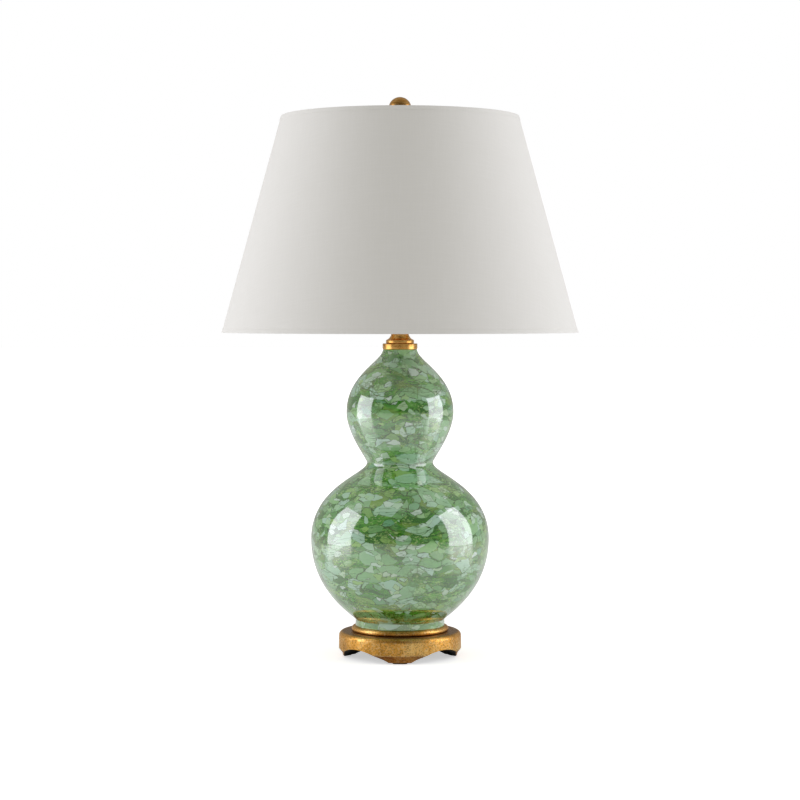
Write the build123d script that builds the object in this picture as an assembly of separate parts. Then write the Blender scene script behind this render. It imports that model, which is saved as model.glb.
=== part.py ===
from build123d import *
from math import cos, radians, sin, sqrt, tan
import os

# Double gourd table lamp: a glazed ceramic body on a gilt turned plinth, with a
# brass neck, a three-way socket and bulb, a harp, and a hardback empire shade.
# Millimetres.  +Z is up, the lamp stands on z = 0 and its axis is the Z axis.
# The front faces -Y, and the cord hole and the harp's set screw face the back.

# ---------------------------------------------------------------- plinth
PAD_THICKNESS = 1.5          # felt under each foot
PAD_INSET = 1.4              # the felt stops short of the foot's edge
PLINTH_HEIGHT = 31.0         # from the feet to the ledge
PLINTH_RADIUS = 78.8
SHOULDER_RADIUS = 6.0        # rounding from the wall up to the ledge
FOOT_RADIUS = 73.6           # at the floor
FOOT_TOP_RADIUS = 74.5       # where the foot meets the chamfer
FOOT_HEIGHT = 3.7
CHAMFER_HEIGHT = 5.1
SEAT_HEIGHT = 6.8            # half-round bead that carries the gourd
SEAT_RADIUS = 62.3
SEAT_TOP_RADIUS = 58.8
ARCH_RISE = 14.0             # above the plinth's own underside
ARCH_HALF_WIDTH = 41.0       # at the plinth's underside
NUT_RECESS_RADIUS = 18.0
NUT_RECESS_CEILING = 12.3    # wood left above the recess, up to the seat
CORD_HOLE_RADIUS = 4.5
CORD_HOLE_BELOW_LEDGE = 12.0

# ---------------------------------------------------------------- cord bushing
BUSHING_BORE_RADIUS = 3.4
BUSHING_LENGTH = 14.0
BUSHING_FLANGE_RADIUS = 6.6
BUSHING_FLANGE = 1.8
SPOT_FACE_DEPTH = 1.3

# ---------------------------------------------------------------- gourd, heights above its foot
GOURD_HEIGHT = 356.0
GOURD_FOOT_RADIUS = 57.5
GOURD_FOOT_HEIGHT = 8.8
LOWER_BELLY_HEIGHT = 112.2
LOWER_BELLY_RADIUS = 114.6
WAIST_HEIGHT = 210.4
WAIST_RADIUS = 42.5
UPPER_BELLY_HEIGHT = 275.2
UPPER_BELLY_RADIUS = 68.9
NECK_RADIUS = 22.1
FOOT_SLOPE = 40.0            # degrees from level, where the body leaves the foot
FOOT_FLARE = 19.8            # how firmly each curve holds its end direction
LOWER_BELLY_BELOW = 60.3
LOWER_BELLY_ABOVE = 67.1
WAIST_BELOW = 15.0
WAIST_ABOVE = 4.2
UPPER_BELLY_BELOW = 28.1
UPPER_BELLY_ABOVE = 48.1
NECK_FLARE = 15.1
GOURD_WALL = 5.0
GOURD_FLOOR = 7.0
FOOT_RING_WIDTH = 8.5
FOOT_RING_RECESS = 4.0
GOURD_ROD_HOLE = 6.5

# ---------------------------------------------------------------- rod and its hardware (1/8 IP)
ROD_RADIUS = 4.9
ROD_BORE_RADIUS = 3.2
ROD_CLEARANCE = 0.3
THREAD_GAP = 0.05            # turned pieces that screw on the rod
WASHER_RADIUS = 12.7
WASHER_THICKNESS = 1.6
LOCK_WASHER_RADIUS = 8.6
LOCK_WASHER_THICKNESS = 1.2
NUT_FLATS = 14.3
NUT_THICKNESS = 5.0
NUT_CHAMFER_ANGLE = 30.0
ROD_BELOW_NUT = 2.0
ROD_IN_SOCKET = 6.5

# ---------------------------------------------------------------- brass neck
CAP_RADIUS = 22.3
CAP_HEIGHT = 7.2
CAP_EDGE = 0.8
CAP_SPIGOT_DEPTH = 4.0
SPIGOT_CLEARANCE = 0.3
RING_RADIUS = 18.0
RING_HEIGHT = 4.8
RING_EDGE = 1.0
CONE_BASE_RADIUS = 16.6
CONE_WAIST_RADIUS = 11.6
CONE_TOP_RADIUS = 9.2
CONE_FLARE_HEIGHT = 5.6
CONE_TOE = 1.0               # how flat the cove starts at the ring
CONE_HEIGHT = 13.2

# ---------------------------------------------------------------- harp and its saddle
HARP_HEIGHT = 254.0          # saddle underside to shade seat: a 10 inch harp
HARP_WIRE_RADIUS = 1.75
HARP_LEG_X = 28.0
HARP_HALF_WIDTH = 60.0
HARP_LEG_STRAIGHT = 40.0
HARP_BELLY_LOW = 93.0        # above the saddle, where the loop is widest
HARP_BELLY_HIGH = 193.0
HARP_SHOULDER_X = 40.0
HARP_BENDS = [20.0, 100.0, 150.0, 34.0]
SADDLE_THICKNESS = 1.6
SADDLE_WIDTH = 14.0
POST_GAP = 0.3               # harp leg to its post, and post to its sleeve
POST_WALL = 1.0
POST_HEIGHT = 12.0
SLEEVE_WALL = 0.8
SLEEVE_LENGTH = 14.0
SLEEVE_LIFT_OFF = 0.3        # sleeve above the saddle
SLEEVE_LIP = 0.6
EYE_RADIUS = 5.5
RIVET_RADIUS = 2.0
RIVET_HEAD_RADIUS = 3.6
RIVET_HEAD = 1.0
STUD_SEAT_RADIUS = 11.0
STUD_SEAT = 2.0
STUD_RADIUS = 3.175          # 1/4-27 thread
STUD_ABOVE_WASHER = 10.0
RUNNING_FIT = 0.08           # shaft in hole, on the radius

# ---------------------------------------------------------------- socket and switch
SOCKET_NECK_RADIUS = 7.5
SOCKET_NECK_HEIGHT = 4.5
SOCKET_CAP_RADIUS = 16.4
SOCKET_CAP_DOME = 8.0
SOCKET_CAP_RIM = 5.0
SOCKET_CAP_WALL = 0.8
SOCKET_SHELL_WALL = 0.6
SOCKET_SHELL_HEIGHT = 44.0
SOCKET_DOME_ANGLE = 50.0     # degrees round the dome to the point that shapes it
SOCKET_BEAD = 0.7
BEAD_ROUNDNESS = 0.9         # share of the bead's half height that is rounded
SOCKET_GAP = 0.1             # piece inside piece
SOCKET_OVERLAP = 4.5         # shell inside the cap's rim
LINER_WALL = 0.8
LINER_SHORT = 3.0            # liner below the shell's lip
BLOCK_HEIGHT = 20.0
BLOCK_LIFT = 1.5
SCREW_SHELL_WALL = 0.4
SCREW_SHELL_HEIGHT = 20.5
CONTACT_WIDTH = 6.0
CONTACT_LENGTH = 15.0
CONTACT_THICKNESS = 0.6
CONTACT_RISE = 2.4
TERMINAL_HEAD_RADIUS = 2.6
TERMINAL_HEAD = 1.3
TERMINAL_SHANK_RADIUS = 1.5
TERMINAL_SHANK = 4.0
TERMINAL_HEIGHT = 5.0
TERMINAL_POCKET = 3.0
SET_SCREW_RADIUS = 1.4
SET_SCREW_LENGTH = 3.6
SHAFT_RADIUS = 1.6
SHAFT_HEIGHT = 11.0          # above the block's underside
SHAFT_INSIDE = 7.0           # distance of its inner end from the axis
SHAFT_FIT = 0.05
LINER_HOLE_GAP = 0.3
KNOB_RADIUS = 6.0
KNOB_LENGTH = 15.0
KNOB_STAND_OFF = 5.5         # clear of the socket shell
KNOB_CRIMP_RADIUS = 0.8
KNOB_CRIMP_DEPTH = 0.6
KNOB_CRIMPS = 14
KNOB_GRIP = 9.0

# ---------------------------------------------------------------- bulb (A21, E26)
BULB_LENGTH = 134.0
BULB_RADIUS = 33.5
BULB_NECK_RADIUS = 14.2
BULB_NECK_HEIGHT = 27.0
BULB_LEAN = 28.0             # degrees below the widest place where the flank begins
BULB_GLASS = 1.0
BULB_BASE_RADIUS = 13.1
BULB_BASE_HEIGHT = 24.0
BULB_BASE_WALL = 0.5
BULB_SKIRT = 3.0             # the base's top flares out to the glass
BULB_TIP_RADIUS = 4.5
BULB_TIP = 1.0
BULB_INSULATOR = 3.5
BULB_INSULATOR_PLUG = 1.0    # the part of it inside the base
BULB_TIP_MARGIN = 1.0        # insulator showing round the tip
BULB_SHELL_GAP = 0.4

# ---------------------------------------------------------------- shade, spider, finial
SHADE_HEIGHT = 275.6
SHADE_TOP_RADIUS = 152.4
SHADE_BOTTOM_RADIUS = 228.6
SHADE_DROP = 12.7            # washer underside to the shade's top edge
COVER_THICKNESS = 0.8
LINER_THICKNESS = 0.6
TRIM_THICKNESS = 0.4
TRIM_HEIGHT = 5.0
SHADE_WIRE_RADIUS = 1.6
SHADE_WIRE_GAP = 0.1
SPIDER_WIRE_RADIUS = 1.75
SPIDER_ARMS = 3
SPIDER_BEND = 12.0
SPIDER_RISE_RUN = 15.0
SPIDER_INNER = 10.0
WASHER_HUB_RADIUS = 14.0
WASHER_HUB = 2.0
FINIAL_HEIGHT = 36.0
FINIAL_BALL_RADIUS = 14.6
FINIAL_NECK_RADIUS = 5.4
FINIAL_FOOT_RADIUS = 8.6
FINIAL_FOOT = 2.0
FINIAL_COVE = 1.0            # how far the neck's cove goes in past the neck
FINIAL_BORE_SPARE = 1.0      # thread left over the stud's end

# ---------------------------------------------------------------- derived heights
plinth_z = PAD_THICKNESS
ledge_z = plinth_z + PLINTH_HEIGHT
seat_z = ledge_z + SEAT_HEIGHT
recess_z = seat_z - NUT_RECESS_CEILING
cord_z = ledge_z - CORD_HOLE_BELOW_LEDGE
gourd_top_z = seat_z + GOURD_HEIGHT
ring_z = gourd_top_z + CAP_HEIGHT
cone_z = ring_z + RING_HEIGHT
locknut_z = cone_z + CONE_HEIGHT
saddle_z = locknut_z + NUT_THICKNESS
socket_z = saddle_z + SADDLE_THICKNESS
harp_seat_z = saddle_z + HARP_HEIGHT
washer_top_z = harp_seat_z + WASHER_HUB
shade_top_z = harp_seat_z + SHADE_DROP
shade_z = shade_top_z - SHADE_HEIGHT
finial_top_z = washer_top_z + FINIAL_HEIGHT
cap_rim_z = socket_z + SOCKET_NECK_HEIGHT + SOCKET_CAP_DOME
shell_z = cap_rim_z + SOCKET_CAP_RIM - SOCKET_OVERLAP
shell_top_z = shell_z + SOCKET_SHELL_HEIGHT
block_z = shell_z + BLOCK_LIFT
block_top_z = block_z + BLOCK_HEIGHT
shaft_z = block_z + SHAFT_HEIGHT
bulb_z = block_top_z + CONTACT_RISE
rod_z = recess_z - WASHER_THICKNESS - LOCK_WASHER_THICKNESS - NUT_THICKNESS - ROD_BELOW_NUT
rod_top_z = socket_z + ROD_IN_SOCKET

# ---------------------------------------------------------------- derived radii
shell_radius = SOCKET_CAP_RADIUS - SOCKET_CAP_WALL - SOCKET_GAP
liner_radius = shell_radius - SOCKET_SHELL_WALL - SOCKET_GAP
block_radius = liner_radius - LINER_WALL - SOCKET_GAP
post_inner = HARP_WIRE_RADIUS + POST_GAP
post_outer = post_inner + POST_WALL
sleeve_bore = post_outer + POST_GAP
sleeve_radius = sleeve_bore + SLEEVE_WALL
shade_slope = (SHADE_BOTTOM_RADIUS - SHADE_TOP_RADIUS) / SHADE_HEIGHT
cover_inset = TRIM_THICKNESS
liner_inset = cover_inset + COVER_THICKNESS
wire_inset = liner_inset + LINER_THICKNESS + SHADE_WIRE_GAP + SHADE_WIRE_RADIUS
trim_inset = wire_inset + SHADE_WIRE_RADIUS + SHADE_WIRE_GAP + TRIM_THICKNESS
arch_radius = (ARCH_HALF_WIDTH ** 2 + ARCH_RISE ** 2) / (2 * ARCH_RISE)


# ---------------------------------------------------------------- helpers
def turned(*edges):
    """A solid turned about Z from edges drawn as (radius, height)."""
    return revolve(Plane.XZ * make_face(Curve() + list(edges)), Axis.Z)


def turned_polygon(*points):
    return turned(Polyline(*points, close=True))


def disc(z, height, radius):
    return Pos(0, 0, z) * Cylinder(radius, height, align=(Align.CENTER, Align.CENTER, Align.MIN))


def tube(z, height, outer, inner):
    return disc(z, height, outer) - disc(z, height, inner)


def hex_nut(z, bore):
    """A hex nut whose corners are turned off at both faces."""
    flat = NUT_FLATS / 2
    corner = flat / cos(radians(30))
    slope = (corner - flat) * tan(radians(NUT_CHAMFER_ANGLE))
    top = z + NUT_THICKNESS
    body = extrude(Pos(0, 0, z) * RegularPolygon(flat, 6, major_radius=False), NUT_THICKNESS)
    body &= turned_polygon((0, z), (flat, z), (corner, z + slope), (corner, top - slope), (flat, top), (0, top))
    return body - disc(z, NUT_THICKNESS, bore)


def rod_along_y(y_from, y_to, z, radius):
    """A round bar parallel to Y, between two values of y."""
    length = abs(y_to - y_from)
    return Pos(0, (y_from + y_to) / 2, z) * Rot(90, 0, 0) * Cylinder(radius, length)


# ---------------------------------------------------------------- plinth pieces
def arch_tunnels(grow=0.0):
    """Two round-topped tunnels that cross under the plinth, leaving four feet."""
    tool = Rot(0, 90, 0) * Cylinder(arch_radius + grow, 4 * PLINTH_RADIUS)
    tool = Pos(0, 0, plinth_z + ARCH_RISE - arch_radius) * tool
    return (Rot(0, 0, 45) * tool) + (Rot(0, 0, -45) * tool)


def make_plinth():
    chamfer_z = plinth_z + FOOT_HEIGHT
    wall_z = chamfer_z + CHAMFER_HEIGHT
    shoulder_z = ledge_z - SHOULDER_RADIUS
    shoulder_r = PLINTH_RADIUS - SHOULDER_RADIUS
    bend = SHOULDER_RADIUS * sqrt(0.5)
    lower = Polyline((0, seat_z), (0, plinth_z), (FOOT_RADIUS, plinth_z), (FOOT_TOP_RADIUS, chamfer_z),
                     (PLINTH_RADIUS, wall_z), (PLINTH_RADIUS, shoulder_z))
    shoulder = ThreePointArc((PLINTH_RADIUS, shoulder_z), (shoulder_r + bend, shoulder_z + bend),
                             (shoulder_r, ledge_z))
    bead_root = (SEAT_RADIUS + SEAT_TOP_RADIUS) / 2
    ledge = Line((shoulder_r, ledge_z), (bead_root, ledge_z))
    bead = ThreePointArc((bead_root, ledge_z), (SEAT_RADIUS, ledge_z + SEAT_HEIGHT / 2),
                         (SEAT_TOP_RADIUS, seat_z))
    top = Line((SEAT_TOP_RADIUS, seat_z), (0, seat_z))
    body = turned(lower, shoulder, ledge, bead, top)
    body -= arch_tunnels()
    body -= disc(plinth_z, recess_z - plinth_z, NUT_RECESS_RADIUS)
    body -= disc(plinth_z, seat_z - plinth_z, ROD_RADIUS + ROD_CLEARANCE)
    body -= rod_along_y(0, 2 * PLINTH_RADIUS, cord_z, CORD_HOLE_RADIUS)
    flange_y = PLINTH_RADIUS - SPOT_FACE_DEPTH
    return body - rod_along_y(flange_y, 2 * PLINTH_RADIUS, cord_z, BUSHING_FLANGE_RADIUS + ROD_CLEARANCE)


def make_foot_pads():
    felt = disc(0, PAD_THICKNESS, FOOT_RADIUS - PAD_INSET)
    return felt - arch_tunnels(PAD_INSET)


def make_cord_bushing():
    face_y = PLINTH_RADIUS - SPOT_FACE_DEPTH
    sleeve = rod_along_y(face_y - BUSHING_LENGTH, face_y, cord_z, CORD_HOLE_RADIUS)
    flange = rod_along_y(face_y, face_y + BUSHING_FLANGE, cord_z, BUSHING_FLANGE_RADIUS)
    bore = rod_along_y(face_y - BUSHING_LENGTH, face_y + BUSHING_FLANGE, cord_z, BUSHING_BORE_RADIUS)
    return sleeve + flange - bore


# ---------------------------------------------------------------- ceramic body
def parallel(hold, reach, inset):
    """Length of a curve's end handle once the curve has moved in by inset."""
    return hold - inset * reach / (1.5 * hold)


def swell(belly, belly_hold, narrow, narrow_hold, inset):
    """A curve that is upright at a belly and upright again at a narrow place."""
    up = Vector(0, 1 if narrow.Y > belly.Y else -1)
    reach = belly.X - narrow.X
    inward = Vector(-inset, 0)
    return Bezier(belly + inward, belly + inward + up * parallel(belly_hold, reach, inset),
                  narrow + inward - up * parallel(narrow_hold, -reach, inset), narrow + inward)


def gourd_outline(inset):
    """The thrown form from foot to neck, or the parallel form inside its wall."""
    foot = Vector(GOURD_FOOT_RADIUS, seat_z + GOURD_FOOT_HEIGHT)
    lower = Vector(LOWER_BELLY_RADIUS, seat_z + LOWER_BELLY_HEIGHT)
    waist = Vector(WAIST_RADIUS, seat_z + WAIST_HEIGHT)
    upper = Vector(UPPER_BELLY_RADIUS, seat_z + UPPER_BELLY_HEIGHT)
    neck = Vector(NECK_RADIUS, gourd_top_z)
    slope = Vector(1, 0).rotate(Axis.Z, FOOT_SLOPE)
    start = foot + slope.rotate(Axis.Z, 90) * inset
    reach = lower.X - (foot + slope * FOOT_FLARE).X
    end = lower - Vector(inset, 0)
    base = Bezier(start, start + slope * FOOT_FLARE,
                  end - Vector(0, parallel(LOWER_BELLY_BELOW, reach, inset)), end)
    return start, [
        base,
        swell(lower, LOWER_BELLY_ABOVE, waist, WAIST_BELOW, inset),
        swell(upper, UPPER_BELLY_BELOW, waist, WAIST_ABOVE, inset),
        swell(upper, UPPER_BELLY_ABOVE, neck, NECK_FLARE, inset),
    ]


def gourd_form(inset, bottom_z):
    """The turned form, closed by a flat bottom and a flat top."""
    start, curves = gourd_outline(inset)
    close = Polyline((NECK_RADIUS - inset, gourd_top_z), (0, gourd_top_z), (0, bottom_z), (start.X, bottom_z),
                     (start.X, start.Y))
    return turned(*curves, close)


def make_gourd():
    recess_top = seat_z + FOOT_RING_RECESS
    floor_z = recess_top + GOURD_FLOOR
    body = gourd_form(0, seat_z) - gourd_form(GOURD_WALL, floor_z)
    body -= disc(seat_z, FOOT_RING_RECESS, GOURD_FOOT_RADIUS - FOOT_RING_WIDTH)
    return body - disc(recess_top, GOURD_FLOOR, GOURD_ROD_HOLE)


# ---------------------------------------------------------------- rod, nuts and washers
def make_lamp_rod():
    return tube(rod_z, rod_top_z - rod_z, ROD_RADIUS, ROD_BORE_RADIUS)


def make_bottom_washer():
    return tube(recess_z - WASHER_THICKNESS, WASHER_THICKNESS, WASHER_RADIUS, ROD_RADIUS + ROD_CLEARANCE)


def make_lock_washer():
    z = recess_z - WASHER_THICKNESS - LOCK_WASHER_THICKNESS
    return tube(z, LOCK_WASHER_THICKNESS, LOCK_WASHER_RADIUS, ROD_RADIUS + ROD_CLEARANCE)


def make_bottom_nut():
    return hex_nut(rod_z + ROD_BELOW_NUT, ROD_RADIUS + THREAD_GAP)


def make_locknut():
    return hex_nut(locknut_z, ROD_RADIUS + THREAD_GAP)


# ---------------------------------------------------------------- brass neck
def make_vase_cap():
    body = chamfer(disc(gourd_top_z, CAP_HEIGHT, CAP_RADIUS).edges().sort_by(Axis.Z)[-1], CAP_EDGE)
    body += disc(gourd_top_z - CAP_SPIGOT_DEPTH, CAP_SPIGOT_DEPTH, NECK_RADIUS - GOURD_WALL - SPIGOT_CLEARANCE)
    depth = CAP_SPIGOT_DEPTH + CAP_HEIGHT
    return body - disc(gourd_top_z - CAP_SPIGOT_DEPTH, depth, ROD_RADIUS + ROD_CLEARANCE)


def make_neck_ring():
    body = disc(ring_z, RING_HEIGHT, RING_RADIUS)
    body = fillet(body.edges().filter_by(GeomType.CIRCLE), RING_EDGE)
    return body - disc(ring_z, RING_HEIGHT, ROD_RADIUS + ROD_CLEARANCE)


def make_neck_cone():
    """A cove-flanked cone whose bore clears the rod."""
    hole = ROD_RADIUS + ROD_CLEARANCE
    top_z = cone_z + CONE_HEIGHT
    waist_z = cone_z + CONE_FLARE_HEIGHT
    cove = Bezier((CONE_BASE_RADIUS, cone_z), ((CONE_BASE_RADIUS + CONE_WAIST_RADIUS) / 2, cone_z + CONE_TOE),
                  (CONE_WAIST_RADIUS, waist_z))
    rest = Polyline((CONE_WAIST_RADIUS, waist_z), (CONE_TOP_RADIUS, top_z), (hole, top_z), (hole, cone_z),
                    (CONE_BASE_RADIUS, cone_z))
    return turned(cove, rest)


# ---------------------------------------------------------------- harp
def make_saddle():
    """A flat strap with a half-round post at each end that takes a harp leg."""
    body = extrude(Pos(0, 0, saddle_z) * SlotOverall(2 * HARP_LEG_X + SADDLE_WIDTH, SADDLE_WIDTH),
                   SADDLE_THICKNESS)
    open_side = Pos(0, 0, socket_z) * Box(2 * post_outer, 3 * post_outer, 3 * POST_HEIGHT,
                                          align=(Align.MAX, Align.CENTER, Align.CENTER))
    post = Pos(HARP_LEG_X, 0, 0) * (tube(socket_z, POST_HEIGHT, post_outer, post_inner) - open_side)
    body += post
    body += Rot(0, 0, 180) * post
    return body - disc(saddle_z, SADDLE_THICKNESS, ROD_RADIUS + ROD_CLEARANCE)


def harp_path():
    """The loop's centre line, from the left leg over the top to the right leg."""
    wire_top = harp_seat_z - STUD_SEAT - HARP_WIRE_RADIUS
    right = [
        (HARP_LEG_X, socket_z),
        (HARP_LEG_X, socket_z + HARP_LEG_STRAIGHT),
        (HARP_HALF_WIDTH, socket_z + HARP_BELLY_LOW),
        (HARP_HALF_WIDTH, socket_z + HARP_BELLY_HIGH),
        (HARP_SHOULDER_X, wire_top),
    ]
    left = [(-x, z) for x, z in right]
    return Plane.XZ * FilletPolyline(*left, *reversed(right), radius=[*HARP_BENDS, *reversed(HARP_BENDS)])


def make_harp_wire():
    path = harp_path()
    wire = sweep(Plane(path @ 0, z_dir=path % 0) * Circle(HARP_WIRE_RADIUS), path=path)
    eye_z = harp_seat_z - STUD_SEAT - 2 * HARP_WIRE_RADIUS
    eye = disc(eye_z, 2 * HARP_WIRE_RADIUS, EYE_RADIUS)
    return wire + eye - disc(eye_z, 2 * HARP_WIRE_RADIUS, RIVET_RADIUS)


def make_harp_stud():
    seat_bottom = harp_seat_z - STUD_SEAT
    eye_z = seat_bottom - 2 * HARP_WIRE_RADIUS
    stud = disc(harp_seat_z, WASHER_HUB + STUD_ABOVE_WASHER, STUD_RADIUS)
    seat = disc(seat_bottom, STUD_SEAT, STUD_SEAT_RADIUS)
    rivet = disc(eye_z, 2 * HARP_WIRE_RADIUS, RIVET_RADIUS)
    head = disc(eye_z - RIVET_HEAD, RIVET_HEAD, RIVET_HEAD_RADIUS)
    return stud + seat + rivet + head


def make_sleeve(side):
    """The small tube that drops over the post and locks the harp leg in it."""
    z = socket_z + SLEEVE_LIFT_OFF
    body = tube(z, SLEEVE_LENGTH, sleeve_radius, sleeve_bore)
    lip = tube(z, 2 * SLEEVE_LIP, sleeve_radius + SLEEVE_LIP, sleeve_bore)
    return Pos(side * HARP_LEG_X, 0, 0) * (body + lip)


# ---------------------------------------------------------------- socket
def make_socket_cap():
    wall = SOCKET_CAP_WALL
    neck_z = socket_z + SOCKET_NECK_HEIGHT
    rim_top = cap_rim_z + SOCKET_CAP_RIM
    bore = ROD_RADIUS + THREAD_GAP
    outer = SOCKET_CAP_RADIUS
    dome = ThreePointArc((SOCKET_NECK_RADIUS, neck_z), dome_point(outer, neck_z), (outer, cap_rim_z))
    side = Polyline((outer, cap_rim_z), (outer, rim_top), (outer - wall, rim_top), (outer - wall, cap_rim_z))
    inside = ThreePointArc((outer - wall, cap_rim_z), dome_point(outer - wall, neck_z + wall),
                           (SOCKET_NECK_RADIUS, neck_z + wall))
    neck = Polyline((SOCKET_NECK_RADIUS, neck_z + wall), (bore, neck_z + wall), (bore, socket_z),
                    (SOCKET_NECK_RADIUS, socket_z), (SOCKET_NECK_RADIUS, neck_z))
    return turned(dome, side, inside, neck) - make_set_screw()


def dome_point(radius, z):
    """The middle of a dome's arc that rises from the socket's neck to its rim."""
    bend = radians(SOCKET_DOME_ANGLE)
    return (SOCKET_NECK_RADIUS + (radius - SOCKET_NECK_RADIUS) * sin(bend),
            z + (cap_rim_z - z) * (1 - cos(bend)))


def make_set_screw():
    tip = ROD_RADIUS + THREAD_GAP
    return rod_along_y(tip, tip + SET_SCREW_LENGTH, socket_z + SOCKET_NECK_HEIGHT / 2, SET_SCREW_RADIUS)


def make_socket_shell():
    body = tube(shell_z, SOCKET_SHELL_HEIGHT, shell_radius, shell_radius - SOCKET_SHELL_WALL)
    middle = shell_radius - SOCKET_SHELL_WALL / 2
    bead = tube(shell_top_z - 2 * SOCKET_BEAD, 2 * SOCKET_BEAD, shell_radius + SOCKET_BEAD, middle)
    rims = bead.edges().filter_by(GeomType.CIRCLE).group_by(SortBy.LENGTH)[-1]
    bead = fillet(rims, SOCKET_BEAD * BEAD_ROUNDNESS)
    return body + bead - switch_hole(SHAFT_FIT)


def switch_hole(clearance):
    return rod_along_y(0, -2 * SOCKET_CAP_RADIUS, shaft_z, SHAFT_RADIUS + clearance)


def make_socket_liner():
    height = SOCKET_SHELL_HEIGHT - LINER_SHORT
    return tube(shell_z, height, liner_radius, liner_radius - LINER_WALL) - switch_hole(LINER_HOLE_GAP)


def make_socket_block():
    body = disc(block_z, BLOCK_HEIGHT, block_radius)
    for side in (-1, 1):
        pocket = Box(TERMINAL_POCKET, 2 * block_radius, 2 * TERMINAL_HEIGHT,
                     align=(Align.MAX, Align.CENTER, Align.MIN))
        body -= Rot(0, 0, 90 - 90 * side) * Pos(block_radius, 0, block_z) * pocket
    body -= rod_along_y(-SHAFT_INSIDE, -2 * block_radius, shaft_z, SHAFT_RADIUS + SHAFT_FIT)
    return body - make_terminal_screws()


def make_terminal_screws():
    """Two side screws, head out, one on each side of the block."""
    face = block_radius - TERMINAL_POCKET
    head = Pos(face + TERMINAL_HEAD / 2, 0, 0) * Rot(0, 90, 0) * Cylinder(TERMINAL_HEAD_RADIUS, TERMINAL_HEAD)
    shank = Pos(face - TERMINAL_SHANK / 2, 0, 0) * Rot(0, 90, 0) * Cylinder(TERMINAL_SHANK_RADIUS, TERMINAL_SHANK)
    screw = Pos(0, 0, block_z + TERMINAL_HEIGHT) * (head + shank)
    return screw + Rot(0, 0, 180) * screw


def make_screw_shell():
    height = SCREW_SHELL_HEIGHT
    outer = BULB_BASE_RADIUS + BULB_SHELL_GAP + SCREW_SHELL_WALL
    return tube(block_top_z, height, outer, outer - SCREW_SHELL_WALL)


def make_centre_contact():
    """A bent leaf: riveted flat at one end, its free end under the bulb's tip."""
    half = CONTACT_LENGTH / 2
    t = CONTACT_THICKNESS
    top = CONTACT_RISE
    leaf = Polyline((-half, 0), (-half / 2, 0), (0, top - t), (half / 2, top - t), (half / 2, top),
                    (-t / 2, top), (-half / 2 - t / 2, t), (-half, t), close=True)
    return Pos(0, CONTACT_WIDTH / 2, block_top_z) * extrude(Plane.XZ * make_face(leaf), CONTACT_WIDTH)


# ---------------------------------------------------------------- switch
def knob_start():
    return -(shell_radius + KNOB_STAND_OFF)


def make_switch_shaft():
    return rod_along_y(-SHAFT_INSIDE - SHAFT_FIT, knob_start() - KNOB_LENGTH / 2, shaft_z, SHAFT_RADIUS)


def make_switch_knob():
    start = knob_start()
    body = rod_along_y(start, start - KNOB_LENGTH, shaft_z, KNOB_RADIUS)
    body = chamfer(body.edges().filter_by(GeomType.CIRCLE), KNOB_CRIMP_RADIUS)
    groove = rod_along_y(start - KNOB_LENGTH + KNOB_GRIP, start - 2 * KNOB_LENGTH, 0, KNOB_CRIMP_RADIUS)
    groove = Pos(0, 0, KNOB_RADIUS + KNOB_CRIMP_RADIUS - KNOB_CRIMP_DEPTH) * groove
    for index in range(KNOB_CRIMPS):
        turn = Rot(0, 360 * index / KNOB_CRIMPS, 0)
        body -= Pos(0, 0, shaft_z) * turn * groove
    return body - rod_along_y(start, start - KNOB_LENGTH / 2, shaft_z, SHAFT_RADIUS)


# ---------------------------------------------------------------- bulb
def bulb_volume(inset, bottom_z):
    """The glass envelope's form from its neck to its crown, set in by a wall."""
    centre_z = bulb_z + BULB_LENGTH - BULB_RADIUS
    radius = BULB_RADIUS - inset
    lean = radians(BULB_LEAN)
    middle = (radians(90) - lean) / 2
    neck_r = BULB_NECK_RADIUS - inset
    neck_z = bulb_z + BULB_NECK_HEIGHT
    join_r = radius * cos(lean)
    join_z = centre_z - radius * sin(lean)
    reach = (join_z - neck_z) / 2
    flank = Bezier((neck_r, neck_z), (neck_r, neck_z + reach),
                   (join_r - reach * sin(lean), join_z - reach * cos(lean)), (join_r, join_z))
    crown = ThreePointArc((join_r, join_z), (radius * cos(middle), centre_z + radius * sin(middle)),
                          (0, centre_z + radius))
    close = Polyline((0, centre_z + radius), (0, bottom_z), (neck_r, bottom_z), (neck_r, neck_z))
    return turned(flank, crown, close)


def make_bulb_glass():
    bottom = bulb_z + BULB_BASE_HEIGHT
    return bulb_volume(0, bottom) - bulb_volume(BULB_GLASS, bottom)


def make_bulb_base():
    """The threaded brass shell, whose top flares out to meet the glass."""
    z = bulb_z + BULB_TIP + BULB_INSULATOR
    top = bulb_z + BULB_BASE_HEIGHT
    wall = BULB_BASE_WALL
    outer = BULB_BASE_RADIUS
    return turned_polygon((outer, z), (outer, top - BULB_SKIRT), (BULB_NECK_RADIUS, top),
                          (BULB_NECK_RADIUS - 2 * wall, top), (outer - wall, top - BULB_SKIRT), (outer - wall, z))


def make_bulb_insulator():
    z = bulb_z + BULB_TIP
    top = z + BULB_INSULATOR
    plug = BULB_BASE_RADIUS - BULB_BASE_WALL
    inside = top + BULB_INSULATOR_PLUG
    return turned_polygon((0, z), (BULB_TIP_RADIUS + BULB_TIP_MARGIN, z), (plug, top), (plug, inside), (0, inside))


def make_bulb_tip():
    return disc(bulb_z, BULB_TIP, BULB_TIP_RADIUS)


# ---------------------------------------------------------------- shade
def shade_radius(z, inset):
    """Radius of the shade's wall at a height, set in from its outside."""
    return SHADE_BOTTOM_RADIUS - shade_slope * (z - shade_z) - inset


def shade_layer(inset, thickness, low, high):
    return turned_polygon((shade_radius(low, inset), low), (shade_radius(high, inset), high),
                          (shade_radius(high, inset + thickness), high),
                          (shade_radius(low, inset + thickness), low))


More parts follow.
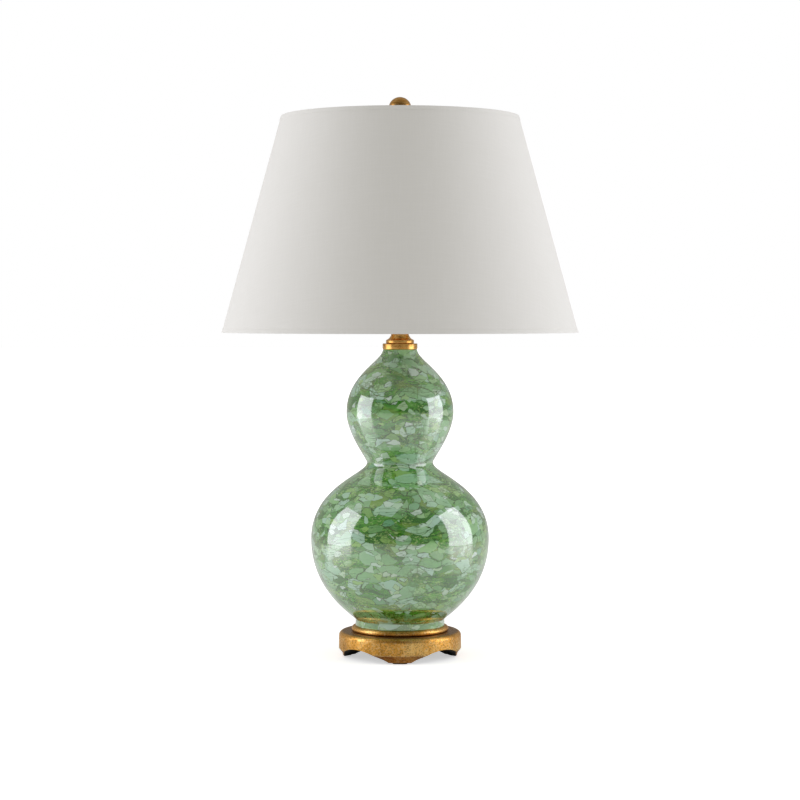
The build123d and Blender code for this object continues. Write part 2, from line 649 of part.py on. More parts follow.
def make_shade_cover():
    return shade_layer(cover_inset, COVER_THICKNESS, shade_z + TRIM_THICKNESS, shade_top_z - TRIM_THICKNESS)


def make_shade_liner():
    return shade_layer(liner_inset, LINER_THICKNESS, shade_z + TRIM_THICKNESS, shade_top_z - TRIM_THICKNESS)


def shade_wire(z):
    return Pos(0, 0, z) * Torus(shade_radius(z, wire_inset), SHADE_WIRE_RADIUS)


def wire_height(top):
    edge = TRIM_THICKNESS + SHADE_WIRE_GAP + SHADE_WIRE_RADIUS
    return shade_top_z - edge if top else shade_z + edge


def make_trim(top):
    """A folded strip that wraps the edge and the wire behind it."""
    edge = shade_top_z if top else shade_z
    inward = -1 if top else 1
    fold = edge + inward * TRIM_THICKNESS
    reach = edge + inward * TRIM_HEIGHT
    wall = TRIM_THICKNESS
    return turned_polygon(
        (shade_radius(edge, 0), edge), (shade_radius(reach, 0), reach),
        (shade_radius(reach, wall), reach), (shade_radius(fold, wall), fold),
        (shade_radius(fold, trim_inset - wall), fold), (shade_radius(reach, trim_inset - wall), reach),
        (shade_radius(reach, trim_inset), reach), (shade_radius(edge, trim_inset), edge))


def make_spider_arms():
    arm_z = washer_top_z + SPIDER_WIRE_RADIUS
    end_z = wire_height(True)
    end_r = shade_radius(end_z, wire_inset) - SHADE_WIRE_RADIUS
    path = FilletPolyline((SPIDER_INNER, arm_z), (end_r - SPIDER_RISE_RUN, arm_z), (end_r, end_z),
                          radius=SPIDER_BEND)
    path = Plane.XZ * path
    arm = sweep(Plane(path @ 0, z_dir=path % 0) * Circle(SPIDER_WIRE_RADIUS), path=path)
    arm -= shade_wire(end_z)
    step = 360 / SPIDER_ARMS
    return Compound([(Rot(0, 0, 90 + step * index) * arm).solid() for index in range(SPIDER_ARMS)])


def make_top_trim():
    """The top strip is notched where the spider's arms reach the wire behind it."""
    return make_trim(True) - make_spider_arms()


def make_spider_washer():
    return tube(harp_seat_z, WASHER_HUB, WASHER_HUB_RADIUS, STUD_RADIUS + RUNNING_FIT)


# ---------------------------------------------------------------- finial
def finial_joint_z():
    centre_z = finial_top_z - FINIAL_BALL_RADIUS
    return centre_z - sqrt(FINIAL_BALL_RADIUS ** 2 - FINIAL_NECK_RADIUS ** 2)


def finial_bore():
    return disc(washer_top_z, STUD_ABOVE_WASHER + FINIAL_BORE_SPARE, STUD_RADIUS + RUNNING_FIT)


def make_finial_base():
    top = finial_joint_z()
    foot_top = washer_top_z + FINIAL_FOOT
    neck = Bezier((FINIAL_FOOT_RADIUS, foot_top), (FINIAL_NECK_RADIUS - FINIAL_COVE, foot_top), (FINIAL_NECK_RADIUS, top))
    rest = Polyline((FINIAL_NECK_RADIUS, top), (0, top), (0, washer_top_z), (FINIAL_FOOT_RADIUS, washer_top_z),
                    (FINIAL_FOOT_RADIUS, foot_top))
    return turned(neck, rest) - finial_bore()


def make_finial_ball():
    centre_z = finial_top_z - FINIAL_BALL_RADIUS
    ball = Pos(0, 0, centre_z) * Sphere(FINIAL_BALL_RADIUS)
    below = disc(centre_z - 2 * FINIAL_BALL_RADIUS, 2 * FINIAL_BALL_RADIUS - centre_z + finial_joint_z(),
                 FINIAL_BALL_RADIUS)
    return ball - below - finial_bore()


# ---------------------------------------------------------------- every node
NODES = {
    "plinth": make_plinth,
    "foot_pads": make_foot_pads,
    "cord_bushing": make_cord_bushing,
    "gourd_body": make_gourd,
    "lamp_rod": make_lamp_rod,
    "bottom_washer": make_bottom_washer,
    "lock_washer": make_lock_washer,
    "bottom_nut": make_bottom_nut,
    "vase_cap": make_vase_cap,
    "neck_ring": make_neck_ring,
    "neck_cone": make_neck_cone,
    "rod_locknut": make_locknut,
    "harp_saddle": make_saddle,
    "harp_wire": make_harp_wire,
    "harp_stud": make_harp_stud,
    "harp_sleeve_left": lambda: make_sleeve(-1),
    "harp_sleeve_right": lambda: make_sleeve(1),
    "socket_cap": make_socket_cap,
    "socket_set_screw": make_set_screw,
    "socket_shell": make_socket_shell,
    "socket_liner": make_socket_liner,
    "socket_block": make_socket_block,
    "terminal_screws": make_terminal_screws,
    "screw_shell": make_screw_shell,
    "centre_contact": make_centre_contact,
    "switch_shaft": make_switch_shaft,
    "switch_knob": make_switch_knob,
    "bulb_glass": make_bulb_glass,
    "bulb_base": make_bulb_base,
    "bulb_insulator": make_bulb_insulator,
    "bulb_tip": make_bulb_tip,
    "shade_cover": make_shade_cover,
    "shade_liner": make_shade_liner,
    "shade_top_ring": lambda: shade_wire(wire_height(True)),
    "shade_bottom_ring": lambda: shade_wire(wire_height(False)),
    "shade_top_trim": make_top_trim,
    "shade_bottom_trim": lambda: make_trim(False),
    "spider_arms": make_spider_arms,
    "spider_washer": make_spider_washer,
    "finial_base": make_finial_base,
    "finial_ball": make_finial_ball,
}

os.makedirs("parts", exist_ok=True)
for name, make in NODES.items():
    export_step(make(), f"parts/{name}.step")
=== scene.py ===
# %% [markdown]
# # A double gourd table lamp
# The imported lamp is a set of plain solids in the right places. This lesson
# gives it the surfaces of the real one: a glossy flaked glaze on the gourd,
# antique gold leaf on the plinth, polished brass at the neck and a cloth
# shade on a styrene back. Everything is in metres; sizes written in
# millimetres are turned into metres where a mesh is made.

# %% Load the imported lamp
from math import cos, hypot, pi, radians, sin

import bmesh
import bpy
import numpy as np
from mathutils import Matrix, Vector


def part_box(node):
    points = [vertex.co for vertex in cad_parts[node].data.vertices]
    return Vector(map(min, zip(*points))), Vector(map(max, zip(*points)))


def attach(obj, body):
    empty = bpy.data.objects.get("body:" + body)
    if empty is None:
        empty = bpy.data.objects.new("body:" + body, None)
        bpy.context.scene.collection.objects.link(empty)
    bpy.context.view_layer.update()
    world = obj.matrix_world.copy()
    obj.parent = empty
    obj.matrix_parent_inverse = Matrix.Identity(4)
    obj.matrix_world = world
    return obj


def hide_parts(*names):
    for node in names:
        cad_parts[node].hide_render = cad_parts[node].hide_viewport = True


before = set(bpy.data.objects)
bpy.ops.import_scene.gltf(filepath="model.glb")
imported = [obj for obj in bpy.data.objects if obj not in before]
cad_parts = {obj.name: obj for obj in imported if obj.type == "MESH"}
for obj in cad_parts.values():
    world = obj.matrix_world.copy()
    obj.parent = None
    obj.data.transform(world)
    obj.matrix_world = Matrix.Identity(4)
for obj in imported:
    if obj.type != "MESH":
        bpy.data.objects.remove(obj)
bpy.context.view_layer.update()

# %% [markdown]
# ## The camera
# A table lamp is usually photographed with a long lens from a few metres, so
# that the shade's rim looks almost straight. This one looks 2.3 degrees down
# from 2.7 m.

# %% The camera
CAMERA_PLACE = (0.0, -2.718, 0.439)
CAMERA_TILT = 87.70  # degrees up from straight down
LENS_MM = 95.2
SENSOR_MM = 36.0

scene = bpy.context.scene


def place_object(name, data):
    """An object with this data, linked to the scene."""
    thing = bpy.data.objects.new(name, data)
    scene.collection.objects.link(thing)
    return thing


def place_mesh(name, points, faces=(), finish=None):
    """An object with a mesh of these points and faces."""
    mesh = bpy.data.meshes.new(name)
    mesh.from_pydata(points, [], faces)
    if finish:
        mesh.materials.append(finish)
    return place_object(name, mesh)


camera_data = bpy.data.cameras.new("portrait_lens")
camera_data.lens = LENS_MM
camera_data.sensor_width = SENSOR_MM
camera = place_object("portrait_camera", camera_data)
camera.location = CAMERA_PLACE
camera.rotation_euler = (radians(CAMERA_TILT), 0, 0)
scene.camera = camera
scene.view_settings.view_transform = "Standard"
print("camera", LENS_MM, "mm at", CAMERA_PLACE)

# %% [markdown]
# ## Nodes and colours
# Every tree below, for shapes and for finishes alike, is built with one small
# function: it adds a node, sets its options, and either fills each input or
# links it. Colours are written as they look on a screen, and one function
# turns them into the linear values that light adds up in. Another starts a
# material.

# %% Functions for colours, nodes and materials
MIX_A, MIX_B = 6, 7  # a Mix node's two colour inputs


def colour(code):
    """Linear RGBA of an sRGB hex colour."""
    parts = [int(code[i:i + 2], 16) / 255 for i in (1, 3, 5)]
    return [v / 12.92 if v <= 0.04045 else ((v + 0.055) / 1.055) ** 2.4 for v in parts] + [1.0]


def output_of(node):
    """The output that a node gives: its first enabled one."""
    return next(socket for socket in node.outputs if socket.enabled)


def add(tree, kind, inputs=None, stops=(), **settings):
    """Adds a node: its settings, its inputs (values, sockets or nodes), a ramp's stops."""
    node = tree.nodes.new(kind)
    for name, value in settings.items():
        setattr(node, name, value)
    for key, value in (inputs or {}).items():
        if isinstance(value, bpy.types.Node):
            value = output_of(value)
        if isinstance(value, bpy.types.NodeSocket):
            tree.links.new(value, node.inputs[key])
        else:
            node.inputs[key].default_value = value
    if stops:
        marks = node.color_ramp.elements
        while len(marks) < len(stops):
            marks.new(0.5)
        for mark, (at, code) in zip(marks, stops):
            mark.position = at
            mark.color = colour(code)
    return node


def new_finish(name, **sockets):
    """A material, its tree, its one Principled shader and the Object coordinates."""
    finish = bpy.data.materials.new(name)
    finish.use_nodes = True
    tree = finish.node_tree
    shader = tree.nodes["Principled BSDF"]
    for key, value in sockets.items():
        shader.inputs[key.replace("_", " ")].default_value = value
    return finish, tree, shader, add(tree, "ShaderNodeTexCoord").outputs["Object"]


print("mid grey is", round(colour("#808080")[0], 3), "in linear light")

# %% [markdown]
# ## The room
# A glossy pot shows the room it stands in, so the room is built for its
# reflections first. The camera sees pure white behind the lamp. Glazes and
# metals see a dim grey studio, which keeps their colours deep and their
# edges quiet, and matt things get a fill of their own.

# %% The world
CAMERA_SIDE_SEEN = 0.12  # how bright the room is in a reflection, towards the camera
BACKDROP_SEEN = 0.36  # and away from it
ROOM_FILL = 0.60  # how bright it is to matt surfaces
ROOM_TURNS = (-0.7, 0.3)  # the view's Y between which it goes from one to the other
FILL_TINT = (1.0, 0.99, 0.945, 1.0)


def make_world():
    world = bpy.data.worlds.new("grey_studio")
    scene.world = world
    world.use_nodes = True
    tree = world.node_tree
    tree.nodes.clear()
    rays = add(tree, "ShaderNodeLightPath").outputs
    to_camera = rays["Is Camera Ray"]
    mirrored = add(tree, "ShaderNodeMath", {
        0: rays["Is Glossy Ray"], 1: rays["Is Transmission Ray"]}, operation="MAXIMUM")
    view = add(tree, "ShaderNodeTexCoord").outputs["Generated"]
    room = add(tree, "ShaderNodeMapRange", {
        "Value": add(tree, "ShaderNodeSeparateXYZ", {0: view}).outputs["Y"],
        "From Min": ROOM_TURNS[0], "From Max": ROOM_TURNS[1],
        "To Min": CAMERA_SIDE_SEEN, "To Max": BACKDROP_SEEN})
    seen = add(tree, "ShaderNodeMapRange", {
        "Value": mirrored, "To Min": ROOM_FILL, "To Max": room})
    strength = add(tree, "ShaderNodeMath", {0: seen, 1: to_camera}, operation="MAXIMUM")
    tint = add(tree, "ShaderNodeMix", {
        0: to_camera, MIX_A: FILL_TINT, MIX_B: (1, 1, 1, 1)}, data_type="RGBA")
    light = add(tree, "ShaderNodeBackground", {"Color": tint, "Strength": strength})
    add(tree, "ShaderNodeOutputWorld", {"Surface": light})


make_world()
print("room", CAMERA_SIDE_SEEN, "to", BACKDROP_SEEN, "in reflections,", ROOM_FILL, "as fill")

# %% [markdown]
# ## Two soft boxes and a card
# Two tall soft boxes stand left and right, nearly level with the lamp, so the
# glaze gets an upright window on each flank and stays clear in the middle.
# A narrow black card behind the camera draws the dark line down the centre
# of polished metal. The camera never sees it.

# %% Soft boxes and card
SOFT_BOX_WATTS = 9.3
SOFT_BOX_SIZE = (0.95, 1.36)
SOFT_BOX_DISTANCE = 1.3
SOFT_BOX_TURN = 83.0  # degrees round the lamp from the camera
SOFT_BOX_HEIGHT = 0.70
SOFT_BOX_TINT = (0.920, 0.930, 1.0)
CARD_SIZE = (0.34, 3.0)
CARD_DISTANCE = 3.1


def make_soft_box(name, side):
    data = bpy.data.lights.new(name, "AREA")
    data.shape = "RECTANGLE"
    data.size, data.size_y = SOFT_BOX_SIZE
    data.energy = SOFT_BOX_WATTS
    data.color = SOFT_BOX_TINT
    box = place_object(name, data)
    turn_by = radians(SOFT_BOX_TURN)
    box.location = (side * SOFT_BOX_DISTANCE * sin(turn_by),
                    -SOFT_BOX_DISTANCE * cos(turn_by), SOFT_BOX_HEIGHT)
    box.rotation_euler = (radians(90), 0, side * turn_by)


def make_card():
    width, height = CARD_SIZE
    corners = [(x, -CARD_DISTANCE, z) for x, z in (
        (-width / 2, 0), (width / 2, 0), (width / 2, height), (-width / 2, height))]
    paper = new_finish("black_flocked_card", Base_Color=colour("#151514"), Roughness=1.0)[0]
    card = place_mesh("black_card", corners, [(0, 1, 2, 3)], paper)
    card.visible_camera = False
    card.visible_shadow = False


for box_name, box_side in (("soft_box_left", -1), ("soft_box_right", 1)):
    make_soft_box(box_name, box_side)
make_card()
print("soft boxes", SOFT_BOX_SIZE, "m at", SOFT_BOX_DISTANCE, "m")

# %% [markdown]
# ## The floor
# The floor is a matt white sheet that keeps the lamp's shadow. To the camera
# it also glows a little: near the lamp just enough to turn the lit part pure
# white and leave the soft dark under the feet, and further out, where the
# lamps don't reach, up to white by itself. In a reflection, the sheet under
# each soft box glows too and fades towards the lamp, like the cards that
# studios lay on a table, which carries the window's reflection on downwards.

# %% The floor
FLOOR_HALF_WIDTH = 25.0
FLOOR_WHITE = "#ECECEC"
FLOOR_GLOW_NEAR = 0.52
FLOOR_GLOW_FAR = 1.0
GLOW_FROM, GLOW_TO = 0.25, 1.1  # metres from the lamp
REFLECTOR_LIGHT = 0.90
REFLECTOR_TURN = (58.0, 66.0, 98.0, 106.0)  # degrees: dark, full, full, dark
REFLECTOR_AWAY = (0.08, 0.80, 1.30, 1.90)  # metres: dark, full, full, dark


def reflector(tree, place, away, mirrored):
    """How strongly the sheet glows in a reflection, in a patch on each side of the lamp."""
    at = add(tree, "ShaderNodeSeparateXYZ", {0: place}).outputs
    aside = add(tree, "ShaderNodeMath", {0: at["X"]}, operation="ABSOLUTE")
    forward = add(tree, "ShaderNodeMath", {0: at["Y"], 1: -1.0}, operation="MULTIPLY")
    round_by = add(tree, "ShaderNodeMath", {0: aside, 1: forward}, operation="ARCTAN2")
    turns = [radians(angle) for angle in REFLECTOR_TURN]
    card = mirrored
    for value, limits in ((round_by, turns), (away, REFLECTOR_AWAY)):
        for dark, full in (limits[:2], limits[:1:-1]):
            edge = add(tree, "ShaderNodeMapRange", {
                "Value": value, "From Min": dark, "From Max": full},
                interpolation_type="SMOOTHSTEP")
            card = add(tree, "ShaderNodeMath", {0: card, 1: edge}, operation="MULTIPLY")
    return add(tree, "ShaderNodeMath", {0: card, 1: REFLECTOR_LIGHT}, operation="MULTIPLY")


def make_floor():
    paper = bpy.data.materials.new("matt_white_paper")
    paper.use_nodes = True
    tree = paper.node_tree
    tree.nodes.clear()
    rays = add(tree, "ShaderNodeLightPath").outputs
    place = add(tree, "ShaderNodeTexCoord").outputs["Object"]
    away = add(tree, "ShaderNodeVectorMath", {0: place}, operation="LENGTH").outputs["Value"]
    glow = add(tree, "ShaderNodeMapRange", {
        "Value": away, "From Min": GLOW_FROM, "From Max": GLOW_TO,
        "To Min": FLOOR_GLOW_NEAR, "To Max": FLOOR_GLOW_FAR}, interpolation_type="SMOOTHSTEP")
    glow = add(tree, "ShaderNodeMath", {0: glow, 1: rays["Is Camera Ray"]}, operation="MULTIPLY")
    card = reflector(tree, place, away, rays["Is Glossy Ray"])
    strength = add(tree, "ShaderNodeMath", {0: glow, 1: card}, operation="ADD")
    matt = add(tree, "ShaderNodeBsdfDiffuse", {"Color": colour(FLOOR_WHITE)})
    light = add(tree, "ShaderNodeEmission", {"Color": (1, 1, 1, 1), "Strength": strength})
    both = add(tree, "ShaderNodeAddShader", {0: matt, 1: light})
    add(tree, "ShaderNodeOutputMaterial", {"Surface": both})
    r = FLOOR_HALF_WIDTH
    corners = [(-r, -r, 0), (r, -r, 0), (r, r, 0), (-r, r, 0)]
    floor = place_mesh("white_floor", corners, [(0, 1, 2, 3)], paper)


make_floor()
print("floor", 2 * FLOOR_HALF_WIDTH, "m wide")

# %% [markdown]
# ## Where each solid is
# A dressed piece stays exactly where its solid is. Instead of typing every
# height again, the script reads each solid's box from its imported mesh.

# %% Where each solid is
def span(node):
    """Bottom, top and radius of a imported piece, in millimetres."""
    low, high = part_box(node)
    return low[2] * 1000, high[2] * 1000, high[0] * 1000


seat_mm, gourd_top_mm, belly_mm = span("gourd_body")
plinth_low_mm = span("plinth")[0]
print("gourd from", round(seat_mm, 2), "to", round(gourd_top_mm, 2), "mm")
print("and", round(belly_mm, 2), "mm in radius")

# %% [markdown]
# ## A start for every finish
# Each finish is one node material. Patterns read the piece's own Object
# coordinates, which are metres in the lamp's frame, so a pattern's scale is
# one over its size: `per_mm(4)` repeats about every 4 mm. Two steps come
# back in every finish: a patchy mask, which is noise with its middle values
# stretched to go from 0 to 1, and a coat of colour laid on through a mask.

# %% Helpers for finishes
def per_mm(size):
    """Texture scale for a feature of this many millimetres."""
    return 1000.0 / size


def patchy(tree, place, size_mm, low, high, detail=3.0, rough=0.5, squash=(1, 1, 1),
           within=None):
    """Patches about size_mm wide: 0 where the noise is under low, 1 where it is over high.
    If another mask is given, they are only within it."""
    grid = add(tree, "ShaderNodeMapping", {"Vector": place, "Scale": squash})
    field = add(tree, "ShaderNodeTexNoise", {
        "Vector": grid, "Scale": per_mm(size_mm), "Detail": detail, "Roughness": rough})
    mask = add(tree, "ShaderNodeMapRange", {"Value": field, "From Min": low, "From Max": high},
               interpolation_type="SMOOTHSTEP")
    if within is None:
        return mask
    return add(tree, "ShaderNodeMath", {0: within, 1: mask}, operation="MULTIPLY")


def coat(tree, mask, below, above, most=1.0):
    """The colour above, laid over the colour below through a mask and at most this strong."""
    share = add(tree, "ShaderNodeMath", {0: mask, 1: most}, operation="MULTIPLY")
    above = colour(above) if isinstance(above, str) else above
    return add(tree, "ShaderNodeMix", {0: share, MIX_A: below, MIX_B: above}, data_type="RGBA")


def zone(tree, place, low_mm, high_mm, edge_mm):
    """A mask that is 1 between two heights, with soft edges of this width."""
    height = add(tree, "ShaderNodeSeparateXYZ", {0: place}).outputs["Z"]
    up, down = [add(tree, "ShaderNodeMapRange", {
        "Value": height, "From Min": dark / 1000, "From Max": full / 1000})
        for dark, full in ((low_mm - edge_mm, low_mm), (high_mm + edge_mm, high_mm))]
    return add(tree, "ShaderNodeMath", {0: up, 1: down}, operation="MULTIPLY")


def lead(tree, node, shader, name):
    """Leads a node's output to one of the shader's inputs."""
    tree.links.new(output_of(node), shader.inputs[name])


def emboss(tree, shader, height, depth_mm):
    """Relief of a depth in millimetres, led to the shader's normal."""
    relief = add(tree, "ShaderNodeBump", {
        "Height": height, "Distance": depth_mm / 1000, "Strength": 1.0})
    lead(tree, relief, shader, "Normal")


print("a 4 mm pattern has the scale", per_mm(4))

# %% [markdown]
# ## The glaze
# The gourd is stoneware under a thick glossy glaze that carries flakes of a
# paler one: chips of pale celadon over green streaks that the turning wheel
# drew out sideways, with thin olive lines where a flake ends. One noise
# would give clouds, but flakes have straight broken edges, so each size of
# flake is a Voronoi pattern, squashed in height, whose cells are there or not
# by their own random number. First comes the green ground under them:
# drawn streaks, dark and olive patches, and fine flecks, dark and light.

# %% The glaze's ground
GLAZE_DRIFT_MM = 20.0  # how far slow noise shifts the pattern
GLAZE_RAGGED_MM = 3.2  # how far fine noise frays a flake's edge
FLAKE_SQUASH = 1.85  # flakes are this much wider than high
GROUND_COATS = (
    # drifts, size mm, low, high, detail, roughness, squash, colour, most
    (True, 52, 0.50, 0.59, 2.0, 0.5, 1.9, "#2F6F18", 0.85),
    (False, 5, 0.46, 0.60, 3.0, 0.6, 2.5, "#2C6714", 0.50),
    (True, 34, 0.52, 0.62, 3.0, 0.5, 1.9, "#7FA03E", 0.55),
)


def shifted(tree, place, size_mm, reach_mm, detail):
    """Coordinates moved by noise, by up to about half the reach each way."""
    field = add(tree, "ShaderNodeTexNoise", {
        "Vector": place, "Scale": per_mm(size_mm), "Detail": detail})
    centred = add(tree, "ShaderNodeVectorMath", {
        0: field.outputs["Color"], 1: (0.5, 0.5, 0.5)}, operation="SUBTRACT")
    return add(tree, "ShaderNodeVectorMath", {
        0: centred, 1: (reach_mm / 1000,) * 3, 2: place}, operation="MULTIPLY_ADD")


def glaze_ground(tree, place, moved):
    drawn = add(tree, "ShaderNodeMapping", {"Vector": moved, "Scale": (1, 1, 7)})
    streaks = add(tree, "ShaderNodeTexNoise", {
        "Vector": drawn, "Scale": per_mm(52), "Detail": 5.0, "Roughness": 0.62,
        "Distortion": 0.3})
    ground = add(tree, "ShaderNodeValToRGB", {"Fac": streaks}, stops=[
        (0.33, "#20620B"), (0.43, "#358118"), (0.51, "#4B9928"), (0.60, "#66AF41"),
        (0.70, "#8AC565")])
    for drifts, size_mm, low, high, detail, rough, squash, code, most in GROUND_COATS:
        mask = patchy(tree, moved if drifts else place, size_mm, low, high, detail, rough,
                      (1, 1, squash))
        ground = coat(tree, mask, ground, code, most)
    flecks = patchy(tree, moved, 3.6, 0.52, 0.60, 3.0, 0.6, (1, 1, 2.2),
                    within=patchy(tree, place, 40, 0.42, 0.58, 2.0))
    return coat(tree, flecks, ground, "#ABCB7C", 0.65)


print("the glaze's flakes are", FLAKE_SQUASH, "times wider than high")

# %% [markdown]
# Now the flakes. A cell's random colour gives two numbers: one says whether
# the flake is there, the other picks its tint. The distance to the cell's
# edge gives the thin line round it. Three sizes lie over each other, the
# palest last.

# %% Flakes of pale glaze
FLAKES = (
    # size mm, share of cells, line mm, shift, most, tints
    (15, 0.38, 0.8, 0.13, 0.78, ("#58994C", "#79B06E", "#91C08A", "#6BAC83", "#8DBA60")),
    (25, 0.31, 0.8, 0.71, 0.80, ("#86BE7E", "#97CA98", "#A8D4B4", "#BBDECC", "#90C97E")),
    (11, 0.25, 0.6, 1.93, 0.88, ("#97C885", "#B7DABA", "#D3E6DD", "#93C463", "#AAD4B3")),
)


def flake_layer(tree, place, below, size_mm, share, line_mm, shift, most, tints):
    """Flakes in a share of a Voronoi pattern's cells, with a broken dark line round them."""
    grid = add(tree, "ShaderNodeMapping", {
        "Vector": place, "Location": (shift, 0.37 * shift, 0.61 * shift),
        "Scale": (1, 1, FLAKE_SQUASH)})
    cells = {"Vector": grid, "Scale": per_mm(size_mm)}
    cell = add(tree, "ShaderNodeTexVoronoi", cells)
    rim = add(tree, "ShaderNodeTexVoronoi", cells, feature="DISTANCE_TO_EDGE")
    lot = add(tree, "ShaderNodeSeparateColor", {0: cell.outputs["Color"]}).outputs
    there = add(tree, "ShaderNodeMath", {0: lot["Red"], 1: 1 - share}, operation="GREATER_THAN")
    steps = [(0.12 + 0.19 * i, tint) for i, tint in enumerate(tints)]
    tint = add(tree, "ShaderNodeValToRGB", {"Fac": lot["Green"]}, stops=steps)
    parts = []
    for dark, full in ((0.3, 0.8), (1.3, 0.6)):  # the flake inside its line, the line
        here = add(tree, "ShaderNodeMapRange", {
            "Value": rim, "From Min": dark * line_mm / size_mm,
            "From Max": full * line_mm / size_mm})
        parts.append(add(tree, "ShaderNodeMath", {0: there, 1: here}, operation="MULTIPLY"))
    body, edge = parts
    laid = coat(tree, body, below, tint.outputs["Color"], most)
    broken = patchy(tree, place, 8, 0.44, 0.56, 2.0, within=edge)
    return coat(tree, broken, laid, "#3A5E1C", 0.85)


print(len(FLAKES), "layers of flakes")

# %% [markdown]
# Last come the thin dark lines that a brush or the wheel drew round the pot,
# which are the contour lines of a noise stretched sideways, and a fine olive
# network in some places, where the glaze crept. At the foot the glaze ran
# thin: it breaks to brown over the crease, and the foot ring is paler.

# %% Lines, creep and foot
FOOT_CREASE_MM = 8.8  # above the seat


def drawn_lines(tree, moved, below):
    drawn = add(tree, "ShaderNodeMapping", {"Vector": moved, "Scale": (1, 1, 13)})
    field = add(tree, "ShaderNodeTexNoise", {
        "Vector": drawn, "Scale": per_mm(75), "Detail": 3.0, "Roughness": 0.6})
    off = add(tree, "ShaderNodeMath", {0: field, 1: 0.52}, operation="SUBTRACT")
    off = add(tree, "ShaderNodeMath", {0: off}, operation="ABSOLUTE")
    line = add(tree, "ShaderNodeMapRange", {"Value": off, "From Min": 0.016, "From Max": 0.005})
    here = patchy(tree, moved, 44, 0.45, 0.55, 2.0, within=line)
    return coat(tree, here, below, "#2F6322", 0.85)


def creep(tree, moved, below):
    net = add(tree, "ShaderNodeTexVoronoi", {"Vector": moved, "Scale": per_mm(5.5)},
              feature="DISTANCE_TO_EDGE")
    line = add(tree, "ShaderNodeMapRange", {"Value": net, "From Min": 0.12, "From Max": 0.04})
    here = patchy(tree, moved, 36, 0.53, 0.62, 2.0, within=line)
    return coat(tree, here, below, "#4F7329", 0.6)


def glaze_foot(tree, place, below):
    crease = seat_mm + FOOT_CREASE_MM
    ring = coat(tree, zone(tree, place, 0, crease, 0.8), below, "#A4CC84", 0.15)
    burnt = patchy(tree, place, 16, 0.40, 0.56, squash=(1, 1, 3),
                   within=zone(tree, place, crease + 0.6, crease + 1.5, 0.7))
    brown = coat(tree, burnt, ring, "#7E6A2B", 0.85)
    thin = patchy(tree, place, 9, 0.50, 0.60, squash=(1, 1, 3),
                  within=zone(tree, place, crease + 2.5, crease + 5.5, 2.0))
    return coat(tree, thin, brown, "#A9A653", 0.6)


def make_glaze():
    """Fired glass over stoneware: very smooth, high index, with a lustre coat."""
    finish, tree, shader, place = new_finish(
        "flaked_celadon_glaze", Roughness=0.11, IOR=1.95, Specular_Tint=(0.98, 0.88, 1.0, 1.0),
        Coat_Weight=1.0, Coat_Roughness=0.04, Coat_IOR=2.0)
    moved = shifted(tree, place, 42, GLAZE_DRIFT_MM, 1.0)
    frayed = shifted(tree, moved, 6, GLAZE_RAGGED_MM, 2.0)
    glaze_colour = glaze_ground(tree, place, moved)
    for layer in FLAKES:
        glaze_colour = flake_layer(tree, frayed, glaze_colour, *layer)
    glaze_colour = creep(tree, frayed, drawn_lines(tree, moved, glaze_colour))
    lead(tree, glaze_foot(tree, place, glaze_colour), shader, "Base Color")
    emboss(tree, shader, patchy(tree, moved, 24, 0.2, 0.8, 1.0), 0.06)
    return finish


glaze = make_glaze()
print(glaze.name, "has", len(glaze.node_tree.nodes), "nodes")

# %% [markdown]
# ## Gold leaf
# The plinth is turned wood under gesso and leaf. Laid leaf is never even: a
# brown wax dulls it and stays in its pores, so the gold is broken by dark
# specks and burnished light ones, a millimetre or two wide, and it wears to
# the red clay near the floor. Painted shade darkens the crease under the
# bead, the ledge gets a painted dark reflection, and a painted highlight runs
# along the top edge of the foot's chamfer.

# %% Antique gold leaf and bare wood
BEAD_MM = 6.8  # the seat's half-round bead is this high
FOOT_MM = 3.7  # the foot's rim under the chamfer is this high
CHAMFER_MM = 5.1


def make_gold_leaf():
    """Metal leaf burnished by hand: metallic, but softly rough, with waxed pores."""
    finish, tree, shader, place = new_finish("antique_gold_leaf_on_wood", Metallic=1.0)
    cloud = add(tree, "ShaderNodeTexNoise", {"Vector": place, "Scale": per_mm(30), "Detail": 4.0})
    gold = add(tree, "ShaderNodeValToRGB", {"Fac": cloud}, stops=[
        (0.32, "#C48A38"), (0.50, "#EEAF52"), (0.68, "#FFD07E")])
    pores = patchy(tree, place, 1.9, 0.46, 0.62, 3.0, 0.7)
    gold = coat(tree, pores, gold, "#75491D", 0.52)
    gold = coat(tree, patchy(tree, place, 2.6, 0.50, 0.70, 2.0), gold, "#F6D496", 0.60)
    ledge = seat_mm - BEAD_MM
    foot = plinth_low_mm + FOOT_MM + CHAMFER_MM
    for low, high, edge, code, most in (
            (ledge + 0.15, ledge + 0.9, 0.5, "#4A2B10", 0.85),  # painted shade in the crease under the bead
            # painted dark reflection on the ledge
            (ledge - 0.4, ledge + 0.1, 0.8, "#8A6038", 0.5),
            (0, foot - 0.3, 0.5, "#804822", 0.52),  # a darker band over the feet, up to the chamfer
            (foot, foot + 0.6, 0.4, "#F0CF96", 0.5)):  # a painted highlight along the chamfer's top edge
        gold = coat(tree, zone(tree, place, low, high, edge), gold, code, most)
    worn = patchy(tree, place, 6, 0.48, 0.60, 4.0, 0.7, within=zone(tree, place, 0, foot, 3))
    lead(tree, coat(tree, worn, gold, "#7A3A1C", 0.5), shader, "Base Color")
    dull = add(tree, "ShaderNodeMapRange", {"Value": pores, "To Min": 0.32, "To Max": 0.60})
    lead(tree, dull, shader, "Roughness")
    emboss(tree, shader, pores, 0.05)
    return finish


def make_dark_wood():
    """Faces cut into the plinth's tunnels: wood in near-black, with a faint grain."""
    finish, tree, shader, place = new_finish("near_black_tunnel_wood", Roughness=0.7)
    grain = patchy(tree, place, 40, 0.35, 0.65, 4.0, 0.6, (1, 8, 8))
    lead(tree, coat(tree, grain, colour("#131209"), "#242117"), shader, "Base Color")
    emboss(tree, shader, grain, 0.1)
    return finish


gold_leaf = make_gold_leaf()
dark_wood = make_dark_wood()
print(gold_leaf.name, "and", dark_wood.name)

